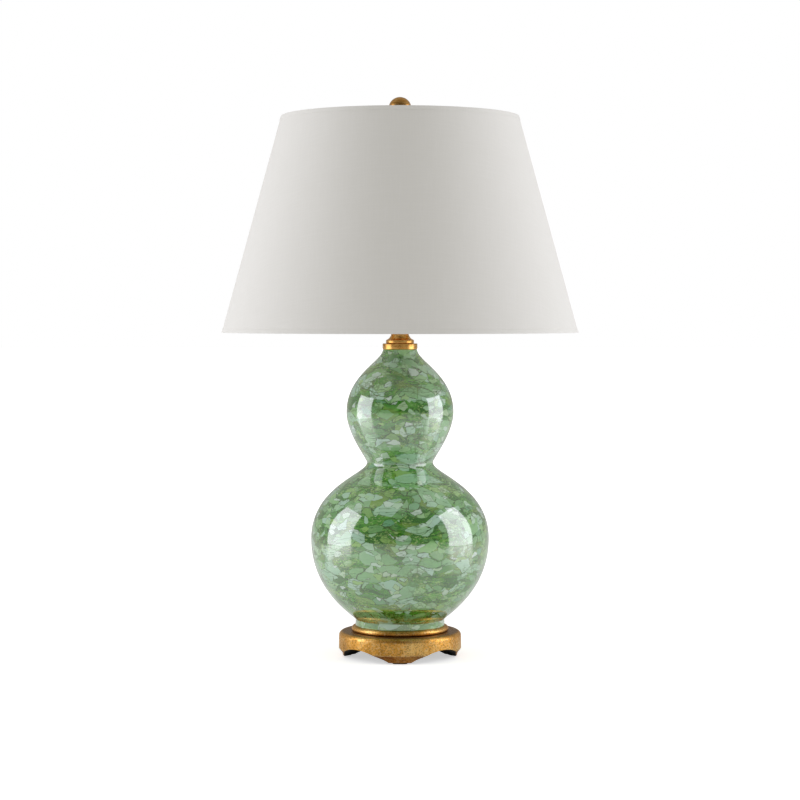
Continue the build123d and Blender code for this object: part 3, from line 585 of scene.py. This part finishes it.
# %% [markdown]
# ## Brass, steel, plastic and felt
# Hardware is simpler, but it isn't flat either: spun brass has faint rings
# from the lathe, drawn brass has lines along the draw, plating a fine mottle
# and moulded plastic a light texture. One function covers them, with two
# colours, a pattern's size, how it is squashed, and a roughness for each end.

# %% Hardware finishes
SPUN, DRAWN = (1, 1, 6), (4, 4, 1)  # how rings round Z and lines along Z are squashed


def hardware(name, dark, light, size_mm, rough, squash=(1, 1, 1), relief_mm=0.004, **sockets):
    finish, tree, shader, place = new_finish(name, **sockets)
    pattern = patchy(tree, place, size_mm, 0.35, 0.65, 4.0, 0.6, squash)
    lead(tree, coat(tree, pattern, colour(dark), light), shader, "Base Color")
    dull = add(tree, "ShaderNodeMapRange", {
        "Value": pattern, "To Min": rough[0], "To Max": rough[1]})
    lead(tree, dull, shader, "Roughness")
    emboss(tree, shader, pattern, relief_mm)
    return finish


def metal(name, dark, light, size_mm, rough, squash=(1, 1, 1)):
    return hardware(name, dark, light, size_mm, rough, squash, Metallic=1.0)


# polished on the lathe, then lacquered: rings of slightly different gloss
polished_brass = metal("spun_lacquered_brass", "#DA9C4C", "#EFBB70", 8, (0.21, 0.30), SPUN)
# brass plated spring wire: duller than solid brass, drawn lengthwise
plated_wire = metal("brass_plated_wire", "#B98F4A", "#CDA562", 4, (0.28, 0.36), DRAWN)
# the lamp holder's drawn and bright dipped brass
drawn_brass = metal("drawn_brass", "#C89A50", "#DDB36A", 5, (0.22, 0.32), DRAWN)
# zinc plating gives steel a cool grey with a faint bloom
zinc_steel = metal("zinc_plated_steel", "#A4A49E", "#C2C2BC", 3, (0.30, 0.44))
# drawn aluminium of the bulb's cap: soft and bright
bulb_metal = metal("drawn_aluminium", "#BDBDBD", "#D6D6D6", 3, (0.26, 0.36), DRAWN)
print(len(bpy.data.materials), "finishes so far")

# %% Plastic, board, felt and glass
# pressed wool felt: quite matt, with fibres about a millimetre long
felt = hardware("pressed_wool_felt", "#2B332B", "#3D463C", 1.2, (0.9, 1.0), (1, 1, 3), 0.15)
nylon = hardware("moulded_black_nylon", "#141414", "#1D1D1D", 2, (0.42, 0.52))
# phenolic resin is pressed hot and comes out of the tool with a soft shine
phenolic = hardware("moulded_phenolic", "#15110E", "#221B16", 5, (0.28, 0.38))
knob_phenolic = hardware("polished_phenolic", "#100D0B", "#1C1612", 6, (0.16, 0.24))
liner_board = hardware("pressed_insulating_board", "#6A5D4C", "#80725E", 2.5, (0.8, 0.9),
                       (1, 1, 0.4), 0.05)
black_glass = hardware("fused_black_glass", "#0A0A0B", "#141416", 4, (0.08, 0.16))
# coated white inside, so it reads as milky under a clear gloss
soft_white_glass = hardware("soft_white_coated_glass", "#ECEAE2", "#F4F3EE", 5, (0.18, 0.26),
                            Coat_Weight=1.0, Coat_Roughness=0.04)
styrene = hardware("white_styrene_sheet", "#E2E1DC", "#EAE9E5", 30, (0.42, 0.52),
                   relief_mm=0.01)
painted_wire = hardware("white_powder_coat", "#DCDAD3", "#E8E6E0", 1.6, (0.36, 0.46),
                        relief_mm=0.03)
print(len(bpy.data.materials), "finishes so far")

# %% [markdown]
# ## The shade's cloth
# The cloth is a fine plain weave on white styrene sheet. It was cut flat as
# a sector and rolled into a cone, so its threads run straight across that
# sector, not round the cone. The mesh carries a UV map of it in metres, and
# warp and weft are two sets of bands there. Real threads lie 0.4 mm apart, a
# third of a pixel from here, and melt into an even off-white, so they are
# drawn at 0.8 mm and very faintly.

# %% Plain weave cloth
THREAD_MM = 0.8
BANDS_PER_UNIT = 20.0  # a wave texture of scale 1 has this many bands in 2 pi units


def make_cloth():
    """Cotton blend: matt, slightly fuzzy at the edge, with thick and thin threads."""
    finish, tree, shader, _ = new_finish(
        "plain_weave_cloth", Roughness=0.9, Sheen_Weight=0.08, Sheen_Roughness=0.5)
    flat = add(tree, "ShaderNodeUVMap", uv_map="flat_sector").outputs[0]
    bands = {"Vector": flat, "Scale": per_mm(THREAD_MM) * 2 * pi / BANDS_PER_UNIT,
             "Distortion": 0.5, "Detail": 1.0}
    warp, weft = [add(tree, "ShaderNodeTexWave", bands, wave_type="BANDS",
                      bands_direction=axis).outputs["Fac"] for axis in ("X", "Y")]
    weave = add(tree, "ShaderNodeMath", {0: warp, 1: weft}, operation="ADD")
    weave = add(tree, "ShaderNodeMapRange", {"Value": weave, "From Min": 0.2, "From Max": 1.6})
    tint = coat(tree, weave, colour("#DEDCD7"), "#E3E1DD")
    for squash in ((12, 0.6, 1), (0.6, 12, 1)):  # thick threads of the warp, then the weft
        thick = patchy(tree, flat, 26, 0.40, 0.70, 4.0, 0.6, squash)
        tint = coat(tree, thick, tint, "#E7E5E2", 0.22)
    lead(tree, tint, shader, "Base Color")
    emboss(tree, shader, weave, 0.03)
    return finish


cloth = make_cloth()
print(cloth.name, "with threads", THREAD_MM, "mm apart")

# %% [markdown]
# ## A lathe made of nodes
# Almost every piece of this lamp was turned, spun or thrown: one profile
# carried round an axis. A Geometry Nodes tree does that. It takes a row of
# points (radius, 0, height) and lays them out on a grid whose columns are
# turned round Z. Merging closes the seam and the poles. Only the profile
# and the number of columns change from piece to piece.

# %% The lathe tree
MERGE_WITHIN = 2e-6  # metres: closes the seam and the poles and spares real points


def make_lathe_tree():
    tree = bpy.data.node_groups.new("lathe", "GeometryNodeTree")
    face = tree.interface
    for name, kind in (("Geometry", "Geometry"), ("Columns", "Int"), ("Finish", "Material")):
        face.new_socket(name, in_out="INPUT", socket_type="NodeSocket" + kind)
    face.new_socket("Geometry", in_out="OUTPUT", socket_type="NodeSocketGeometry")
    given = add(tree, "NodeGroupInput").outputs
    profile, columns = given["Geometry"], given["Columns"]
    rows = add(tree, "GeometryNodeAttributeDomainSize", {0: profile},
               component="MESH").outputs["Point Count"]
    one_more = add(tree, "ShaderNodeMath", {0: columns, 1: 1.0}, operation="ADD")
    grid = add(tree, "GeometryNodeMeshGrid", {
        "Vertices X": one_more, "Vertices Y": rows}).outputs["Mesh"]
    index = add(tree, "GeometryNodeInputIndex")
    row = add(tree, "ShaderNodeMath", {0: index, 1: rows}, operation="FLOORED_MODULO")
    angle = index
    for other, operation in ((rows, "DIVIDE"), (0, "FLOOR"), (columns, "DIVIDE"),
                             (2 * pi, "MULTIPLY")):
        angle = add(tree, "ShaderNodeMath", {0: angle, 1: other}, operation=operation)
    point = add(tree, "GeometryNodeSampleIndex", {
        "Geometry": profile, "Value": add(tree, "GeometryNodeInputPosition"), "Index": row},
        data_type="FLOAT_VECTOR", domain="POINT").outputs[0]
    point = add(tree, "ShaderNodeSeparateXYZ", {0: point}).outputs
    across = [add(tree, "ShaderNodeMath", {
        0: point["X"], 1: add(tree, "ShaderNodeMath", {0: angle}, operation=part)},
        operation="MULTIPLY") for part in ("COSINE", "SINE")]
    place = add(tree, "ShaderNodeCombineXYZ", {0: across[0], 1: across[1], 2: point["Z"]})
    for kind, more in (
            ("SetPosition", {"Position": place}), ("MergeByDistance", {"Distance": MERGE_WITHIN}),
            ("SetShadeSmooth", {}), ("RealizeInstances", {}),
            ("SetMaterial", {"Material": given["Finish"]})):
        grid = add(tree, "GeometryNode" + kind, {"Geometry": grid, **more})
    add(tree, "NodeGroupOutput", {"Geometry": grid})
    return tree


lathe = make_lathe_tree()
print("lathe tree has", len(lathe.nodes), "nodes")

# %% [markdown]
# A piece goes through the lathe in four steps: its profile becomes a row of
# points, the modifier's inputs are set by their identifiers, the evaluated
# result is copied to a plain mesh, and that takes the place of the points.
# If it came out inside out its volume is negative, and its faces are turned
# round. Edges sharper than 35 degrees stay crisp.

# %% Turning a piece
SHARP = radians(35)


def point_outwards(mesh):
    work = bmesh.new()
    work.from_mesh(mesh)
    if work.calc_volume(signed=True) < 0:
        mesh.flip_normals()
    work.free()
    mesh.set_sharp_from_angle(angle=SHARP)


def apply_modifiers(piece):
    """Freezes a piece's modifiers into its mesh."""
    ready = piece.evaluated_get(bpy.context.evaluated_depsgraph_get())
    mesh = bpy.data.meshes.new_from_object(ready)
    old = piece.data
    piece.modifiers.clear()
    piece.data = mesh
    bpy.data.meshes.remove(old)
    mesh.name = piece.name


def turn(name, profile_mm, columns, finish):
    """A turned mesh object from (radius, height) points in millimetres."""
    piece = place_mesh(name, [(r / 1000, 0, z / 1000) for r, z in profile_mm])
    modifier = piece.modifiers.new("lathe", "NODES")
    modifier.node_group = lathe
    inputs = {item.name: item.identifier for item in lathe.interface.items_tree
              if item.in_out == "INPUT"}
    modifier[inputs["Columns"]] = columns
    modifier[inputs["Finish"]] = finish
    apply_modifiers(piece)
    point_outwards(piece.data)
    return piece


def dress(piece, body, slot, *nodes):
    """The piece rides a body and stands for these solids. The slot is not used."""
    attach(piece, body)
    if nodes:
        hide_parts(*nodes)
    print(piece.name, len(piece.data.polygons), "faces")


# %% [markdown]
# ## Profile points
# Four small functions draw a profile: a Bezier curve, an arc, the circle
# through three points, and an outline whose corners are rounded. Real edges
# are never knife sharp, and the tiny round on each is what catches the light.

# %% Drawing profiles
ROUND_MOST = 0.45  # the most of a side that a corner's rounding takes


def bezier(points, count):
    """Points along a Bezier curve of any degree, ends included."""
    result = []
    for step in range(count + 1):
        t = step / count
        level = points
        while len(level) > 1:
            level = [tuple(a + (b - a) * t for a, b in zip(p, q))
                     for p, q in zip(level, level[1:])]
        result.append(level[0])
    return result


def arc(centre, radius, start, end, count):
    """Points on an arc, with angles in degrees from the outward direction."""
    angles = [radians(start + (end - start) * i / count) for i in range(count + 1)]
    return [(centre[0] + radius * cos(a), centre[1] + radius * sin(a)) for a in angles]


def circle_through(a, b, c):
    """Centre, radius and the angles of the first and last of three points on a circle."""
    a, b, c = (np.array(p) for p in (a, b, c))
    centre = np.linalg.solve([b - a, c - a], [(b @ b - a @ a) / 2, (c @ c - a @ a) / 2])
    start, end = (np.degrees(np.arctan2(*(p - centre)[::-1])) for p in (a, c))
    return centre, hypot(*(a - centre)), start, end


def rounded(corners, closed=True, steps=4):
    """An outline through (r, z, rounding) corners; a closed one repeats its first point."""
    result = []
    count = len(corners)
    for i, (r, z, size) in enumerate(corners):
        if size <= 0 or (not closed and i in (0, count - 1)):
            result.append((r, z))
            continue
        sides = [(corner[0] - r, corner[1] - z) for corner in (
            corners[i - 1], corners[(i + 1) % count])]
        size = min([size] + [hypot(*side) * ROUND_MOST for side in sides])
        start, end = [(r + dr / hypot(dr, dz) * size, z + dz / hypot(dr, dz) * size)
                      for dr, dz in sides]
        result += bezier([start, (r, z), end], steps)
    if closed:
        result.append(result[0])
    return result


# %% [markdown]
# ## The gourd
# The gourd is thrown as one wall, 5 mm thick: a short straight foot, a full
# lower belly, a tight waist, a smaller upper belly and a neck that goes under
# the brass cap. Its outside is four Bezier curves that stand upright where
# they meet, so the flank has no break. The inside is the same line moved in
# by the wall, so the rim and the rod's hole show the real thickness.

# %% The gourd
GOURD = {
    # radius, height over the seat, Bezier handles under and over it, steps to the next
    "foot": (57.5, 8.8, 0.0, 19.8, 60),
    "belly": (114.6, 112.2, 60.3, 67.1, 84),
    "waist": (42.5, 210.4, 15.0, 4.2, 60),
    "upper": (68.9, 275.2, 28.1, 48.1, 64),
    "neck": (22.1, 356.0, 15.1, 0.0, 0),
}
FOOT_SLANT = 40.0  # degrees at which the flank leaves the foot
FOOT_STRAIGHT = 7.9  # the foot ring's upright part
FOOT_INSIDE_R, FOOT_RECESS, FOOT_BEVEL, FOOT_ROUND = 49.0, 4.0, 0.6, 1.2
GOURD_WALL = 5.0
GOURD_FLOOR_TOP = 11.0  # over the seat
GOURD_ROD_HOLE = 6.5
LIP_BEVEL = 0.8
GOURD_COLUMNS = 200


def gourd_outside():
    """The flank from foot to neck; only its start is at a slant."""
    line, lean, marks = [], radians(FOOT_SLANT), list(GOURD.values())
    for (r, z, _, over, steps), (next_r, next_z, under, _, _) in zip(marks, marks[1:]):
        start, end = (r, seat_mm + z), (next_r, seat_mm + next_z)
        leaving = (r + over * cos(lean), start[1] + over * sin(lean))
        line += bezier([start, leaving, (next_r, end[1] - under), end], steps)[:-1]
        lean = radians(90)
    return line + [end]


def moved_in(line, wall):
    """The line moved to its inner side by the wall."""
    result = []
    for i in range(1, len(line) - 1):
        dr, dz = line[i + 1][0] - line[i - 1][0], line[i + 1][1] - line[i - 1][1]
        length = hypot(dr, dz)
        result.append((line[i][0] - wall * dz / length, line[i][1] + wall * dr / length))
    return result


def gourd_profile():
    outside = gourd_outside()
    floor_z, recess_z = seat_mm + GOURD_FLOOR_TOP, seat_mm + FOOT_RECESS
    inside = [p for p in moved_in(outside, GOURD_WALL)[::3]
              if floor_z + 1 < p[1] < gourd_top_mm - 4]
    foot_r, neck_r = GOURD["foot"][0], GOURD["neck"][0]
    toe_r, straight_z = foot_r - FOOT_ROUND, seat_mm + FOOT_STRAIGHT
    foot = [(FOOT_INSIDE_R, recess_z), (FOOT_INSIDE_R, seat_mm + FOOT_BEVEL),
            (FOOT_INSIDE_R + FOOT_BEVEL, seat_mm), (toe_r, seat_mm)]
    foot += arc((toe_r, seat_mm + FOOT_ROUND), FOOT_ROUND, -60, 0, 4) + [(foot_r, straight_z)]
    foot += bezier([(foot_r, straight_z), (foot_r, outside[0][1]), outside[1]], 4)[1:]
    lip_z, mouth_r = gourd_top_mm - LIP_BEVEL, neck_r - GOURD_WALL
    lip = [(neck_r, lip_z), (neck_r - LIP_BEVEL, gourd_top_mm),
           (mouth_r + LIP_BEVEL, gourd_top_mm), (mouth_r, lip_z)]
    bottom = [(inside[0][0] - 3, floor_z), (GOURD_ROD_HOLE, floor_z),
              (GOURD_ROD_HOLE, recess_z), (FOOT_INSIDE_R, recess_z)]
    return foot + outside[2:-1] + lip + inside[::-1] + bottom


gourd = turn("gourd_glazed", gourd_profile(), GOURD_COLUMNS, glaze)
dress(gourd, "base", "celadon_glaze", "gourd_body")

# %% [markdown]
# ## The plinth
# The plinth is turned like the rest, then two round-topped tunnels are cut
# across under it, which leaves four feet. A Boolean modifier makes the cut
# on a fine lathe mesh, and a Bevel modifier breaks the edges by half a
# millimetre, as sanding and gesso do. Faces that look into the tunnels are
# near-black.

# %% The plinth
PLINTH = {"foot": 73.6, "foot_top": 74.5, "wall": 78.8, "shoulder": 6.0, "seat": 62.3,
          "seat_top": 58.8, "arch_rise": 14.0, "arch_half": 41.0}
PLINTH_COLUMNS = 320
RECESS_R, RECESS_TOP = 18.0, 27.0  # the nut's recess, its top over the floor
ROD_HOLE = 5.2
BAR_SIDES, BAR_LENGTH = 160, 0.4  # of the tunnels' bars, in metres
SANDED = 0.0005  # metres that sanding takes off each edge
SANDED_FROM = radians(32)  # but only off edges sharper than this


def tunnel_cutter(radius_mm, centre_z_mm):
    """Two crossing round bars as one mesh."""
    work = bmesh.new()
    radius = radius_mm / 1000
    for side in (45, -45):
        bar = bmesh.ops.create_cone(work, cap_ends=True, segments=BAR_SIDES, radius1=radius,
                                    radius2=radius, depth=BAR_LENGTH)["verts"]
        for angle, axis in ((90, "X"), (side, "Z")):
            bmesh.ops.rotate(work, verts=bar, matrix=Matrix.Rotation(radians(angle), 3, axis))
        bmesh.ops.translate(work, verts=bar, vec=(0, 0, centre_z_mm / 1000))
    mesh = bpy.data.meshes.new("tunnels")
    work.to_mesh(mesh)
    work.free()
    return place_object("tunnels", mesh)


def plinth_profile():
    bottom, ledge = plinth_low_mm, seat_mm - BEAD_MM
    wall, bend = PLINTH["wall"], PLINTH["shoulder"]
    lower = [(RECESS_R, bottom), (PLINTH["foot"], bottom),
             (PLINTH["foot_top"], bottom + FOOT_MM), (wall, bottom + FOOT_MM + CHAMFER_MM)]
    shoulder = arc((wall - bend, ledge - bend), bend, 0, 90, 14)
    root = ((PLINTH["seat"] + PLINTH["seat_top"]) / 2, ledge)
    middle = (PLINTH["seat"], ledge + BEAD_MM / 2)
    bead = arc(*circle_through(root, middle, (PLINTH["seat_top"], seat_mm)), 16)
    return lower + shoulder + bead + [(ROD_HOLE, seat_mm), (ROD_HOLE, RECESS_TOP),
                                      (RECESS_R, RECESS_TOP), (RECESS_R, bottom)]


def make_plinth():
    blank = turn("plinth_gilt", plinth_profile(), PLINTH_COLUMNS, gold_leaf)
    blank.data.materials.append(dark_wood)
    rise, half = PLINTH["arch_rise"], PLINTH["arch_half"]
    radius = (half ** 2 + rise ** 2) / (2 * rise)
    cutter = tunnel_cutter(radius, plinth_low_mm + rise - radius)
    cutter.data.materials.append(dark_wood)
    cut = blank.modifiers.new("arches", "BOOLEAN")
    cut.object = cutter
    cut.operation = "DIFFERENCE"
    cut.solver = "EXACT"
    cut.use_self = True
    ease = blank.modifiers.new("sanded_edges", "BEVEL")
    ease.width = SANDED
    ease.segments = 2
    ease.limit_method = "ANGLE"
    ease.angle_limit = SANDED_FROM
    apply_modifiers(blank)
    bpy.data.objects.remove(cutter)
    blank.data.set_sharp_from_angle(angle=SHARP)
    return blank


plinth = make_plinth()
dress(plinth, "base", "gilt_wood", "plinth")

# %% [markdown]
# ## The brass neck
# A spun cap covers the neck, a smaller ring sits on it, and a cove-sided cone
# goes up behind the shade. Each is a closed outline with a hole for the rod.

# %% The brass neck
CAP_PLUG_R = 16.8  # the cap's plug, which centres it in the neck
RING_ROUND = 1.3
CONE_EDGE = 0.3
CONE_COVE = ((14.1, 1.0), (11.6, 5.6))  # radius, height: what pulls the cove, its end
CONE_TOP_R = 9.5


def brass(name, line, node, body="base", columns=160):
    piece = turn(name, line, columns, polished_brass)
    dress(piece, body, "polished_brass", node)


low_z, top_z, rim_r = span("vase_cap")
brass("neck_cap", rounded([
    (ROD_HOLE, low_z, 0), (CAP_PLUG_R, low_z, 0.3), (CAP_PLUG_R, gourd_top_mm, 0),
    (rim_r, gourd_top_mm, 0.5), (rim_r, top_z, 0.9), (ROD_HOLE, top_z, 0)]), "vase_cap")
low_z, top_z, rim_r = span("neck_ring")
brass("neck_ring_spun", rounded([
    (ROD_HOLE, low_z, 0), (rim_r, low_z, RING_ROUND), (rim_r, top_z, RING_ROUND),
    (ROD_HOLE, top_z, 0)], steps=6), "neck_ring")
low_z, top_z, rim_r = span("neck_cone")
cove = [(rim_r, low_z + CONE_EDGE)] + [(r, low_z + up) for r, up in CONE_COVE]
brass("neck_cone_spun", [(rim_r - CONE_EDGE, low_z)] + bezier(cove, 16) + [
    (CONE_TOP_R, top_z - CONE_EDGE), (CONE_TOP_R - CONE_EDGE, top_z), (ROD_HOLE, top_z),
    (ROD_HOLE, low_z), (rim_r - CONE_EDGE, low_z)], "neck_cone")

# %% [markdown]
# ## The finial
# A brass ball on a small turned foot screws down on the harp's stud and holds
# the shade. Only the top of the ball shows over the shade's rim.

# %% The finial
STUD_BORE = 3.255
BORE_DEEP = 11.0
FINIAL_NECK_R = 5.4
FINIAL_RIM = 2.0  # height of the foot's rim

foot_z, joint_z, foot_r = span("finial_base")
_, ball_top, ball_r = span("finial_ball")
rim_z, bore_z = foot_z + FINIAL_RIM, foot_z + BORE_DEEP
base_line = rounded([(STUD_BORE, foot_z, 0.2), (foot_r, foot_z, 0.5), (foot_r, rim_z, 0.6)],
                    False)
base_line += bezier([(foot_r - 0.3, rim_z), (FINIAL_NECK_R - 1.0, rim_z),
                     (FINIAL_NECK_R, joint_z)], 14)
base_line += [(STUD_BORE, joint_z), (STUD_BORE, foot_z)]
brass("finial_foot", base_line, "finial_base", "finial", 96)
joint_angle = -float(np.degrees(np.arccos(FINIAL_NECK_R / ball_r)))
ball_line = [(0.0, bore_z), (STUD_BORE, bore_z), (STUD_BORE, joint_z)]
ball_line += arc((0, ball_top - ball_r), ball_r, joint_angle, 90, 48)[:-1] + [(0.0, ball_top)]
brass("finial_ball_turned", ball_line, "finial_ball", "finial", 128)

# %% [markdown]
# ## The shade
# Cloth, styrene and two folded edge strips, each a thin turned wall. The
# cloth and the strips carry the flat sector as their UV map: a point's
# distance from the cone's tip, and its angle shrunk by the sine of the cone's
# half angle, give its place on the flat cloth.

# %% The shade
shade_z = span("shade_bottom_trim")[0]
shade_top = span("shade_top_trim")[1]
SHADE_BOTTOM_R = 228.6
SHADE_TOP_R = 152.4
TRIM_THICK = 0.4
TRIM_HIGH = 5.0
TRIM_DEEP = 5.4  # from the strip's outer face to its inner one
CLOTH_THICK = 0.8
LINER_THICK = 0.6
SHADE_COLUMNS = 384
shade_slope = (SHADE_BOTTOM_R - SHADE_TOP_R) / (shade_top - shade_z)


def shade_r(z, inset=0.0):
    return SHADE_BOTTOM_R - shade_slope * (z - shade_z) - inset


def map_flat_sector(piece):
    """UVs in metres on the cone's flat sector, with the cut at the back."""
    mesh = piece.data
    points = np.zeros(len(mesh.vertices) * 3)
    mesh.vertices.foreach_get("co", points)
    corner = np.zeros(len(mesh.loops), int)
    mesh.loops.foreach_get("vertex_index", corner)
    x, y, z = points.reshape(-1, 3)[corner].T
    angle = np.arctan2(x, -y)
    for face in mesh.polygons:
        turn_here = angle[face.loop_start:face.loop_start + face.loop_total]
        if turn_here.max() - turn_here.min() > pi:
            turn_here[turn_here < 0] += 2 * pi
    half_angle = np.arctan(shade_slope)
    down = (shade_z + SHADE_BOTTOM_R / shade_slope) / 1000 - z  # from the cone's tip
    far = down / cos(half_angle) + (np.hypot(x, y) - down * shade_slope)
    turned_by = angle * sin(half_angle)
    flat = np.stack([far * np.sin(turned_by), far * np.cos(turned_by)], 1)
    layer = mesh.uv_layers.new(name="flat_sector")
    layer.data.foreach_set("uv", flat.ravel())


def wall_line(low, high, inset, thick, rows=24):
    heights = [low + (high - low) * i / rows for i in range(rows + 1)]
    outer = [(shade_r(z, inset), z) for z in heights]
    inner = [(r - thick, z) for r, z in reversed(outer)]
    return outer + inner + [outer[0]]


def trim_line(edge, inward):
    fold, reach = edge + inward * TRIM_THICK, edge + inward * TRIM_HIGH
    deep = TRIM_DEEP - TRIM_THICK
    corners = [(edge, 0.0, 0.3), (reach, 0.0, 0.15), (reach, TRIM_THICK, 0.0),
               (fold, TRIM_THICK, 0.0), (fold, deep, 0.0), (reach, deep, 0.0),
               (reach, TRIM_DEEP, 0.15), (edge, TRIM_DEEP, 0.3)]
    return rounded([(shade_r(z, inset), z, size) for z, inset, size in corners])


def cloth_piece(name, line, node):
    piece = turn(name, line, SHADE_COLUMNS, cloth)
    map_flat_sector(piece)
    dress(piece, "shade", "shade_fabric", node)


low_z, high_z = shade_z + TRIM_THICK, shade_top - TRIM_THICK
cloth_piece("shade_cloth", wall_line(low_z, high_z, TRIM_THICK, CLOTH_THICK), "shade_cover")
liner_line = wall_line(low_z, high_z, TRIM_THICK + CLOTH_THICK, LINER_THICK, 8)
liner = turn("shade_styrene", liner_line, SHADE_COLUMNS, styrene)
dress(liner, "shade", "shade_styrene", "shade_liner")
TRIMS = (("shade_bottom_trim", shade_z, 1), ("shade_top_trim", shade_top, -1))
for trim_name, edge_z, way in TRIMS:
    cloth_piece(trim_name + "_cloth", trim_line(edge_z, way), trim_name)

# %% [markdown]
# The cloth's two ends lap over each other at the back, glued down in a
# straight seam. It runs along the cone, so it narrows nowhere: each row of
# the strip is the same width, and its angle grows as the cone gets slimmer.

# %% The lapped seam
SEAM_WIDTH = 12.0
SEAM_PROUD = 0.35  # mm over the cloth, which the folded edges cover
SEAM_SUNK = 0.1  # mm into the cloth
SEAM_ROWS, SEAM_STEPS = 40, 6


def make_seam():
    """Rows of closed loops, out along the outer face and back along the inner one."""
    low, high = shade_z + TRIM_HIGH, shade_top - TRIM_HIGH
    across = [step / SEAM_STEPS - 0.5 for step in range(SEAM_STEPS + 1)]
    loop = [(TRIM_THICK - SEAM_PROUD, share) for share in across]
    loop += [(TRIM_THICK + SEAM_SUNK, share) for share in reversed(across)]
    points = []
    for row in range(SEAM_ROWS + 1):
        z = low + (high - low) * row / SEAM_ROWS
        for inset, share in loop:
            r = shade_r(z, inset)
            angle = pi / 2 + SEAM_WIDTH / r * share
            points.append((r * cos(angle) / 1000, r * sin(angle) / 1000, z / 1000))
    size = len(loop)
    faces = [(a + i, a + (i + 1) % size, a + size + (i + 1) % size, a + size + i)
             for a in range(0, size * SEAM_ROWS, size) for i in range(size)]
    for i in range(SEAM_STEPS):
        end = (i + 1, i, size - 1 - i, size - 2 - i)
        faces += [end, tuple(size * SEAM_ROWS + k for k in reversed(end))]
    strip = place_mesh("shade_lapped_seam", points, faces, cloth)
    strip.data.shade_smooth()
    point_outwards(strip.data)
    return strip


seam = make_seam()
map_flat_sector(seam)
dress(seam, "shade", "shade_fabric")
print("seam", SEAM_WIDTH, "mm wide")

# %% [markdown]
# ## Solids that keep their shape
# The hardware that a shade hides has the right shape already. Those solids
# stay as they came in model.glb and only get their finish.

# %% Finishes for the other solids
KEPT = {
    felt: ["foot_pads"],
    nylon: ["cord_bushing"],
    zinc_steel: ["lamp_rod", "bottom_washer", "lock_washer", "bottom_nut",
                 "socket_set_screw", "terminal_screws"],
    polished_brass: ["rod_locknut"],
    plated_wire: ["harp_saddle", "harp_wire", "harp_stud",
                  "harp_sleeve_left", "harp_sleeve_right"],
    drawn_brass: ["socket_cap", "socket_shell", "screw_shell", "centre_contact", "switch_shaft"],
    liner_board: ["socket_liner"],
    phenolic: ["socket_block"],
    knob_phenolic: ["switch_knob"],
    soft_white_glass: ["bulb_glass"],
    bulb_metal: ["bulb_base", "bulb_tip"],
    black_glass: ["bulb_insulator"],
    painted_wire: ["shade_top_ring", "shade_bottom_ring", "spider_arms", "spider_washer"],
}
for finish, names in KEPT.items():
    for name in names:
        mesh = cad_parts[name].data
        mesh.materials.clear()
        mesh.materials.append(finish)
print("kept solids:", sum(len(names) for names in KEPT.values()))
